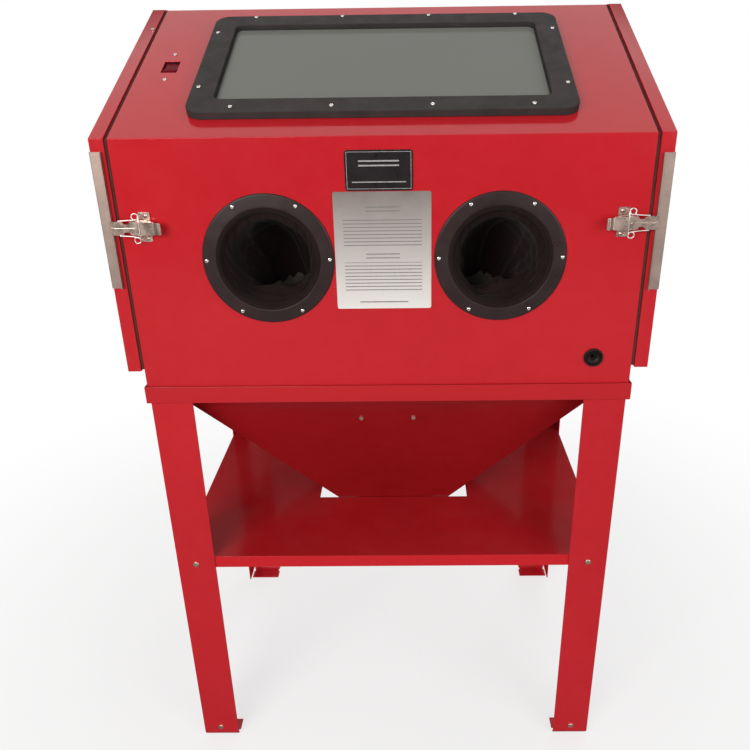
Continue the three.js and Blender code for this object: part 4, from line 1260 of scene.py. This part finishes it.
def latch_claw(side, mirror):
    """A ribbed plate with a notch each side for the spring, a hooked end and two links."""
    mesh = bmesh.new()
    outline = CLAW_EDGE + [(x, -z) for x, z in CLAW_EDGE[::-1]]
    prism(mesh, [(PIN_X + x, z) for x, z in outline], FORWARD, 283.9, 285.0, LATCH_MIDDLE)
    prism(mesh, [(PIN_X + x, y) for x, y in CLAW_HOOK], PLAN, -10.3, 10.3, LATCH_MIDDLE)
    rib = []
    for i in range(19):
        x = PIN_X - 43.6 + i * 2.08
        half = 1.55 * min(1.0, 0.35 + i * 0.5, 0.35 + (18 - i) * 0.5)
        rib.append([
            mesh.verts.new((x, -284.8 - 1.5 * sin(a) * half / 1.55, LATCH_Z + half * cos(a)))
            for a in map(radians, (0, 35, 70, 90, 110, 145, 180))
        ])
    skin(mesh, rib)
    mesh.faces.new(rib[0][::-1])
    mesh.faces.new(rib[-1])
    stud = [(0, 0), (1.9, 0), (1.8, 0.7), (1.2, 1.3), (0, 1.5)]
    lathe(mesh, stud, FRONT, (PIN_X - 44.0, -284.9, LATCH_Z), 18)
    tube(mesh, [(PIN_X - 5.2, -284.9, LATCH_Z + z) for z in (-10.0, 10.0)], 1.1)
    for end in (-1, 1):
        # from the claw's own pin to the plate, outside the lever's cheek
        link = [
            (CLAW_X, CLAW_Y, LATCH_Z + end * 10.9),
            (CLAW_X - 6.0, CLAW_Y - 0.1, LATCH_Z + end * 11.0),
            (PIN_X - 3.6, CLAW_Y - 0.2, LATCH_Z + end * 10.9),
            (PIN_X - 7.0, CLAW_Y - 0.2, LATCH_Z + end * 9.6),
        ]
        tube(mesh, smooth_path(link, 3), 0.85, 10)
    tube(mesh, [(CLAW_X, CLAW_Y, LATCH_Z + z) for z in (-11.6, 11.6)], 1.1)
    piece(side + "_latch_claw_plate", mesh, LATCH, body=side + "_latch_claw_body", smooth=35,
          mirror=mirror, replaces=side + "_latch_claw")


def latch_spring(side, mirror):
    """From the plate's shoulders through a coil each side, and across the lever's root."""
    # x from the lever's pin, y from the claw's pin, z from the latch's middle
    wire = [(-34.0, -0.1, 11.3), (-27.0, -0.3, 11.6), (-18.0, -0.6, 12.2), (-12.0, -0.9, 12.7)]
    for k in range(30):
        a = radians(-100 + k * 16.0)
        wire.append((-7.4 + 4.7 * cos(a), -1.0 - k * 0.085, 17.8 + 4.7 * sin(a)))
    wire += [(-1.7, -4.4, 15.0), (-1.9, -5.2, 11.6), (-2.0, -5.4, 7.0), (-2.0, -5.4, 0)]
    mesh = bmesh.new()
    for end in (-1, 1):
        path = [(PIN_X + x, CLAW_Y + y, LATCH_Z + end * z) for x, y, z in wire]
        tube(mesh, smooth_path(path, 2), 1.0, 10)
    piece(side + "_latch_claw_spring", mesh, SPRING_WIRE, body=side + "_latch_claw_body",
          smooth=50, mirror=mirror)


for side, sign in SIDES:
    for build in (latch_base, latch_lever, latch_claw, latch_spring):
        build(side, sign > 0)


# ---------------------------------------------------------------- grommet, collar and gland
def hose_grommet():
    middle = middle_mm("hose_grommet")
    profile = [
        (6.2, -4.4), (15.0, -4.4), (15.0, -2.4), (12.2, -2.4), (12.2, 0.4), (15.3, 0.4),
        (15.6, 1.0), (15.6, 2.8), (15.2, 3.9), (14.4, 4.6), (13.5, 4.6), (12.8, 4.0),
        (12.3, 2.8), (11.6, 1.2), (10.2, -0.4), (8.2, -1.6), (6.6, -2.2), (6.2, -3.0),
    ]
    mesh = bmesh.new()
    lathe(mesh, profile, FRONT, (middle.x, -275, middle.z), 64, closed=True)
    piece("hose_grommet_moulded", mesh, GROMMET, smooth=50,
          replaces="hose_grommet")


def exhaust_collar():
    """A flanged pipe stub with a raised bead, held by four screws."""
    low, high = box_mm("exhaust_collar")
    x, z = (low.x + high.x) / 2, (low.z + high.z) / 2
    profile = [
        (29, 0), (47.6, 0), (48, 0.4), (48, 1.6), (47.6, 2), (33.4, 2), (32.0, 2.5),
        (31.2, 3.6), (31, 5), (31, 11.5), (31.6, 12.2), (32.2, 13.0), (31.6, 13.8),
        (31, 14.5), (31, 33.4), (30.6, 34), (29.4, 34), (29, 33.4),
    ]
    mesh = bmesh.new()
    lathe(mesh, profile, BACK, (x, low.y, z), 96, closed=True)
    piece("exhaust_collar_spun", mesh, GALV, smooth=50,
          replaces="exhaust_collar")
    around = [pi / 4 + k * pi / 2 for k in range(4)]
    places = [((x + 40.5 * cos(a), low.y + 2.0, z + 40.5 * sin(a)), BACK) for a in around]
    screws("exhaust_collar_screws", places, radius=3.0, height=1.9)


def cable_gland():
    """A hexagon, a ribbed domed nut and the flange inside the wall."""
    low, high = box_mm("cable_gland")
    x, z = (low.x + high.x) / 2, (low.z + high.z) / 2
    outside = 275.4
    corner = 12 / cos(pi / 6) * 0.93
    hexagon = [
        (corner * cos(k * pi / 3 + 0.1), corner * sin(k * pi / 3 + 0.1)) for k in range(6)
    ]
    nut = [
        (3.6, 0), (8.6, 0), (8.6, 6.0), (9.6, 6.2), (9.8, 7.0), (9.6, 8.6), (8.8, 10.6),
        (7.4, 12.6), (6.0, 14.2), (4.6, 15), (3.6, 14.8),
    ]
    flange = [(3.6, -9), (11, -9), (11, -2.4), (8, -2.4), (8, 0.2), (3.6, 0.2)]
    mesh = bmesh.new()
    prism(mesh, hexagon, REARWARD, 0.0, 5.6, origin=(x, outside, z))
    lathe(mesh, nut, BACK, (x, outside, z), closed=True)
    for k in range(16):
        a = tau * k / 16
        rib = [
            (x + reach * cos(a), y, z + reach * sin(a))
            for reach, y in ((9.4, 282.0), (9.0, 284.6), (7.6, 287.2))
        ]
        tube(mesh, rib, 0.7, 6)
    lathe(mesh, flange, BACK, (x, 275, z), 40, closed=True)
    piece("cable_gland_nut", mesh, PLASTIC, smooth=35, replaces="cable_gland")


hose_grommet()
exhaust_collar()
cable_gland()

# ---------------------------------------------------------------- blast gun and hoses
# The barrel lies along X at this height, its nozzle to the left.
GUN_X, GUN_Y, GUN_Z = 40.0, 228.0, 1110.0
GRIP_X = GUN_X + 29
INLET_X = GUN_X - 38  # the media inlet under the barrel
BARREL = [  # radius, x from the gun's middle
    (0, -74), (9.2, -74), (10, -73.2), (10, -62.4), (12.5, -61.4), (14.4, -60.6), (15, -59.4),
    (15, -20), (14.2, -19), (14.2, -16.6), (15, -15.6), (15, 44), (14.4, 50), (12.4, 54.4),
    (9, 56), (0, 56),
]
GRIP = (  # height from the barrel's axis, half width in x, half depth in y
    (-3, 15.5, 11.0), (-14, 15.6, 11.4), (-28, 15.9, 12.2), (-44, 16.6, 12.9),
    (-60, 17.0, 13.0), (-80, 16.8, 12.6), (-100, 16.9, 11.8), (-112, 16.8, 11.2),
    (-116.5, 16.0, 10.4), (-118, 14.6, 9.4),
)
AIR_BARB = [  # radius, distance below the grip
    (0, -2), (8, -2), (8, 1.5), (6.6, 2.5), (7.6, 5.4), (6.6, 6.4), (7.6, 9.4), (6.6, 10.4),
    (7.4, 13.6), (6.4, 14), (0, 14),
]
MEDIA_BARB = [  # radius, distance down from inside the barrel
    (0, -6), (12, -6), (12, 20), (10.6, 21), (11.6, 25), (10.4, 26), (11.4, 30), (10.2, 31),
    (11, 35.4), (10, 36), (0, 36),
]
NOZZLE = [  # radius, distance along the nozzle
    (4, 0.4), (12.6, 0.4), (13, 0.9), (13, 6), (12.2, 6.6), (12.2, 8.4), (13, 9), (13, 15.4),
    (12.4, 17), (8.4, 36.8), (7.8, 37.8), (5.0, 38), (4, 37.4),
]
AIR_PATH = (
    (GRIP_X, GUN_Y, GUN_Z - 131), (GUN_X + 32, GUN_Y, GUN_Z - 180), (GUN_X + 60, GUN_Y - 8, 870),
    (200, 180, 824), (300, 60, 822), (345, -80, 826), (338, -190, 849), (336.5, -240, 852),
)
MEDIA_PATH = (
    (INLET_X, GUN_Y, GUN_Z - 43), (INLET_X, GUN_Y - 2, GUN_Z - 90),
    (GUN_X - 20, GUN_Y - 30, 960), (60, 150, 880), (120, 100, 830), (128, 96, 800),
    (122, 90, 760), (104, 75, 702),
)


def gun_grip(mesh):
    """A rounded-square grip with finger waves down its left side."""
    rings = []
    for height, half_x, half_y in GRIP:
        ring = []
        for k in range(28):
            across, deep = cos(tau * k / 28), sin(tau * k / 28)
            x = GRIP_X + half_x * copysign(abs(across) ** 0.62, across)
            if across < 0:
                x += 1.1 * cos((height + 60) * 0.21) * -across
            y = GUN_Y + half_y * copysign(abs(deep) ** 0.75, deep)
            ring.append(mesh.verts.new((x, y, GUN_Z + height)))
        rings.append(ring)
    skin(mesh, rings)
    mesh.faces.new(rings[0])
    mesh.faces.new(rings[-1][::-1])


def gun():
    mesh = bmesh.new()
    lathe(mesh, BARREL, (1, 0, 0), (GUN_X, GUN_Y, GUN_Z), 56)
    for k in range(24):  # a knurled band
        a = tau * k / 24
        y, z = GUN_Y + 15.0 * cos(a), GUN_Z + 15.0 * sin(a)
        tube(mesh, [(GUN_X + 36, y, z), (GUN_X + 44, y, z)], 0.8, 6)
    gun_grip(mesh)
    lathe(mesh, AIR_BARB, DOWN, (GRIP_X, GUN_Y, GUN_Z - 118), 32)
    lathe(mesh, MEDIA_BARB, DOWN, (INLET_X, GUN_Y, GUN_Z - 8), 40)
    lug = [(-4, -3), (12, -3), (12, 3), (-4, 3)]  # a block under the barrel
    prism(mesh, [(GUN_X + x, GUN_Y + y) for x, y in lug], PLAN, GUN_Z - 24, GUN_Z - 10)
    piece("gun_body_cast", mesh, CAST, smooth=40, replaces="gun_body")
    mesh = bmesh.new()
    lathe(mesh, NOZZLE, (-1, 0, 0), (GUN_X - 74, GUN_Y, GUN_Z), closed=True)
    piece("gun_nozzle_turned", mesh, ZINC, smooth=35, replaces="gun_nozzle")


def air_hose():
    """A plain hose with two clips near the grip."""
    path = smooth_path(AIR_PATH, 14)
    clip = [(7.2, -3.4), (8.6, -3.2), (8.8, 0), (8.6, 3.2), (7.2, 3.4)]
    mesh = bmesh.new()
    tube(mesh, path, 7.4, 24)
    for k in (2, 5):
        lathe(mesh, clip, (path[k + 1] - path[k - 1]).normalized(), path[k], 32)
    piece("air_hose_rubber", mesh, RUBBER, smooth=60, replaces="air_hose")


def media_hose():
    radius, pitch, depth = 11.0, 9.0, 0.9  # of the hose and its ribs
    path = smooth_path(MEDIA_PATH, 22)
    length = sum((b - a).length for a, b in zip(path, path[1:]))
    last = len(path) - 1
    radii = [
        radius - depth * (0.5 - 0.5 * cos(tau * (i / last) * length / pitch))
        for i in range(len(path))
    ]
    mesh = bmesh.new()
    tube(mesh, path, radii, 26)
    piece("media_hose_ribbed", mesh, RUBBER, smooth=60, replaces="media_hose")


def lamp_tube():
    """The milky tube and its two end caps."""
    low, high = box_mm("lamp_tube")
    y, z = (low.y + high.y) / 2, (low.z + high.z) / 2
    length = high.x - low.x
    glass = [
        (0, 13), (7.0, 13), (7.6, 13.6), (7.6, length - 13.6), (7.0, length - 13),
        (0, length - 13),
    ]
    mesh = bmesh.new()
    lathe(mesh, glass, (1, 0, 0), (low.x, y, z), 40)
    piece("lamp_tube_glass", mesh, DIFFUSER, smooth=50, replaces="lamp_tube")
    cap = [(0, 0.2), (7.6, 0.2), (8, 0.7), (8, 12.6), (7.6, 13.4), (0, 13.4)]
    mesh = bmesh.new()
    for x, inward in ((low.x, 1), (high.x, -1)):
        lathe(mesh, cap, (inward, 0, 0), (x, y, z), 40)
    piece("lamp_tube_caps", mesh, CHROME, smooth=40)


gun()
air_hose()
media_hose()
lamp_tube()


# ---------------------------------------------------------------- floor
def studio_floor(half=60):
    data = bpy.data.meshes.new("studio_floor")
    corners = [(-half, -half, 0), (half, -half, 0), (half, half, 0), (-half, half, 0)]
    data.from_pydata(corners, [], [(0, 1, 2, 3)])
    obj = add_object("studio_floor", data)
    mat = Surface("studio_floor_pale")
    colour = mat.mix(mat.mottle(scale=0.6), (0.88, 0.88, 0.875), (0.90, 0.90, 0.895))
    ray = mat.add("LightPath").outputs
    # it throws back less light than it shows, so that the undersides stay deep
    colour = mat.mix(mat.times(ray["Is Glossy Ray"], 0.75), colour, (0.12, 0.12, 0.12))
    colour = mat.mix(mat.times(ray["Is Diffuse Ray"], 0.80), colour, (0.10, 0.09, 0.09))
    mat.set(Base_Color=colour, Roughness=0.9, Specular_IOR_Level=0.1)
    # away from the cabinet it runs into the white of the room
    away = mat.add("VectorMath", operation="LENGTH")
    mat.put(away.inputs[0], mat.coord)
    fade = mat.remap(away.outputs["Value"], span=(0.35, 1.8), to=(0.66, 1.0),
                     interpolation_type="SMOOTHSTEP")
    glow = mat.add("Emission")
    glow.inputs["Color"].default_value = (1, 1, 1, 1)
    both = mat.add("MixShader")
    mat.put(both.inputs[0], mat.times(fade, ray["Is Camera Ray"]))
    mat.put(both.inputs[1], mat.shader.outputs["BSDF"])
    mat.put(both.inputs[2], glow.outputs[0])
    mat.put(mat.output.inputs["Surface"], both.outputs[0])
    data.materials.append(mat.material)


studio_floor()


# ---------------------------------------------------------------- world
def soft_studio():
    """White to the camera; other rays find a soft ambient light or a shaped reflection."""
    world = bpy.data.worlds.new("soft_studio")
    scene.world = world
    world.use_nodes = True
    graph = NodeGraph(world.node_tree)
    toward = graph.add("SeparateXYZ")
    graph.put(toward.inputs[0], graph.add("TexCoord").outputs["Generated"])
    ray = graph.add("LightPath").outputs

    def ramp(axis, span, to):
        return graph.remap(toward.outputs[axis], span, to, interpolation_type="SMOOTHSTEP")

    # gloss picks up a bright ceiling behind, darker towards the horizon, and grey in front
    ceiling = graph.times(ramp("Z", span=(0.52, 0.66), to=(0.10, 1.0)), 1.05)
    behind = graph.times(ceiling, ramp("Y", span=(-0.25, 0.1), to=(0.0, 1.0)))
    gloss = graph.calc("ADD", behind, ramp("Y", span=(-0.3, 0.15), to=(0.45, 0.03)))
    ambient = ramp("Z", span=(-0.2, 1.0), to=(0.42, 0.34))
    seen = graph.add("Background")
    seen.inputs["Color"].default_value = (1, 1, 1, 1)
    lit = graph.add("Background")
    lit.inputs["Color"].default_value = (1, 0.985, 0.975, 1)
    choose = graph.add("Mix", data_type="FLOAT")
    graph.put(choose.inputs[0], ray["Is Glossy Ray"])
    graph.put(choose.inputs[2], ambient)
    graph.put(choose.inputs[3], gloss)
    graph.put(lit.inputs["Strength"], choose.outputs[0])
    mixer = graph.add("MixShader")
    graph.put(mixer.inputs[0], ray["Is Camera Ray"])
    graph.put(mixer.inputs[1], lit.outputs[0])
    graph.put(mixer.inputs[2], seen.outputs[0])
    graph.put(graph.add("OutputWorld").inputs["Surface"], mixer.outputs[0])


soft_studio()


# ---------------------------------------------------------------- lights
def softbox(name, at, aim_z, watts, tint, glossy=True):
    """A rectangular light aimed at a point on the cabinet's upright axis."""
    light = bpy.data.lights.new(name, "AREA")
    light.shape = "RECTANGLE"
    light.size, light.size_y = 2.4, 1.8
    light.energy = watts
    light.color = tint
    obj = bpy.data.objects.new(name, light)
    obj.location = at
    aim = Vector((0, 0, aim_z)) - Vector(at)
    obj.rotation_euler = aim.to_track_quat("-Z", "Y").to_euler()
    scene.collection.objects.link(obj)
    obj.visible_glossy = glossy


softbox("key_softbox", at=(-1.7, -3.6, 2.2), aim_z=0.85, watts=105, tint=(1, 0.985, 0.965))
softbox("fill_softbox", at=(2.6, -3.2, 1.7), aim_z=0.8, watts=52, tint=(0.98, 0.99, 1))
softbox("back_softbox", at=(1.4, 3.6, 1.5), aim_z=0.8, watts=46, tint=(1, 1, 1), glossy=False)

# ---------------------------------------------------------------- camera
CAMERA_AT = (0.0414803494, -1.4138272336, 1.32211625924)
# radians: turned from straight back, tipped down, rolled
YAW, PITCH, ROLL = -0.011145332364323081, 0.41553978095895305, -0.013340000427865316
LENS_MM = 35.959429314278
SHIFT_X = -0.039514312686242


def camera():
    ahead = Vector((sin(YAW) * cos(PITCH), cos(YAW) * cos(PITCH), -sin(PITCH)))
    level = Vector((cos(YAW), -sin(YAW), 0))
    upright = level.cross(ahead)
    right = level * cos(ROLL) + upright * sin(ROLL)
    up = upright * cos(ROLL) - level * sin(ROLL)
    data = bpy.data.cameras.new("camera")
    data.sensor_fit = "HORIZONTAL"
    data.sensor_width = 36.0
    data.lens = LENS_MM
    data.shift_x = SHIFT_X
    data.clip_start, data.clip_end = 0.05, 200
    obj = bpy.data.objects.new("camera", data)
    turn = Matrix((right, up, -ahead)).transposed().to_4x4()
    obj.matrix_world = Matrix.Translation(CAMERA_AT) @ turn
    scene.collection.objects.link(obj)
    scene.camera = obj


camera()
scene.view_settings.view_transform = "Standard"
scene.view_settings.look = "None"
scene.view_settings.exposure = 0.0
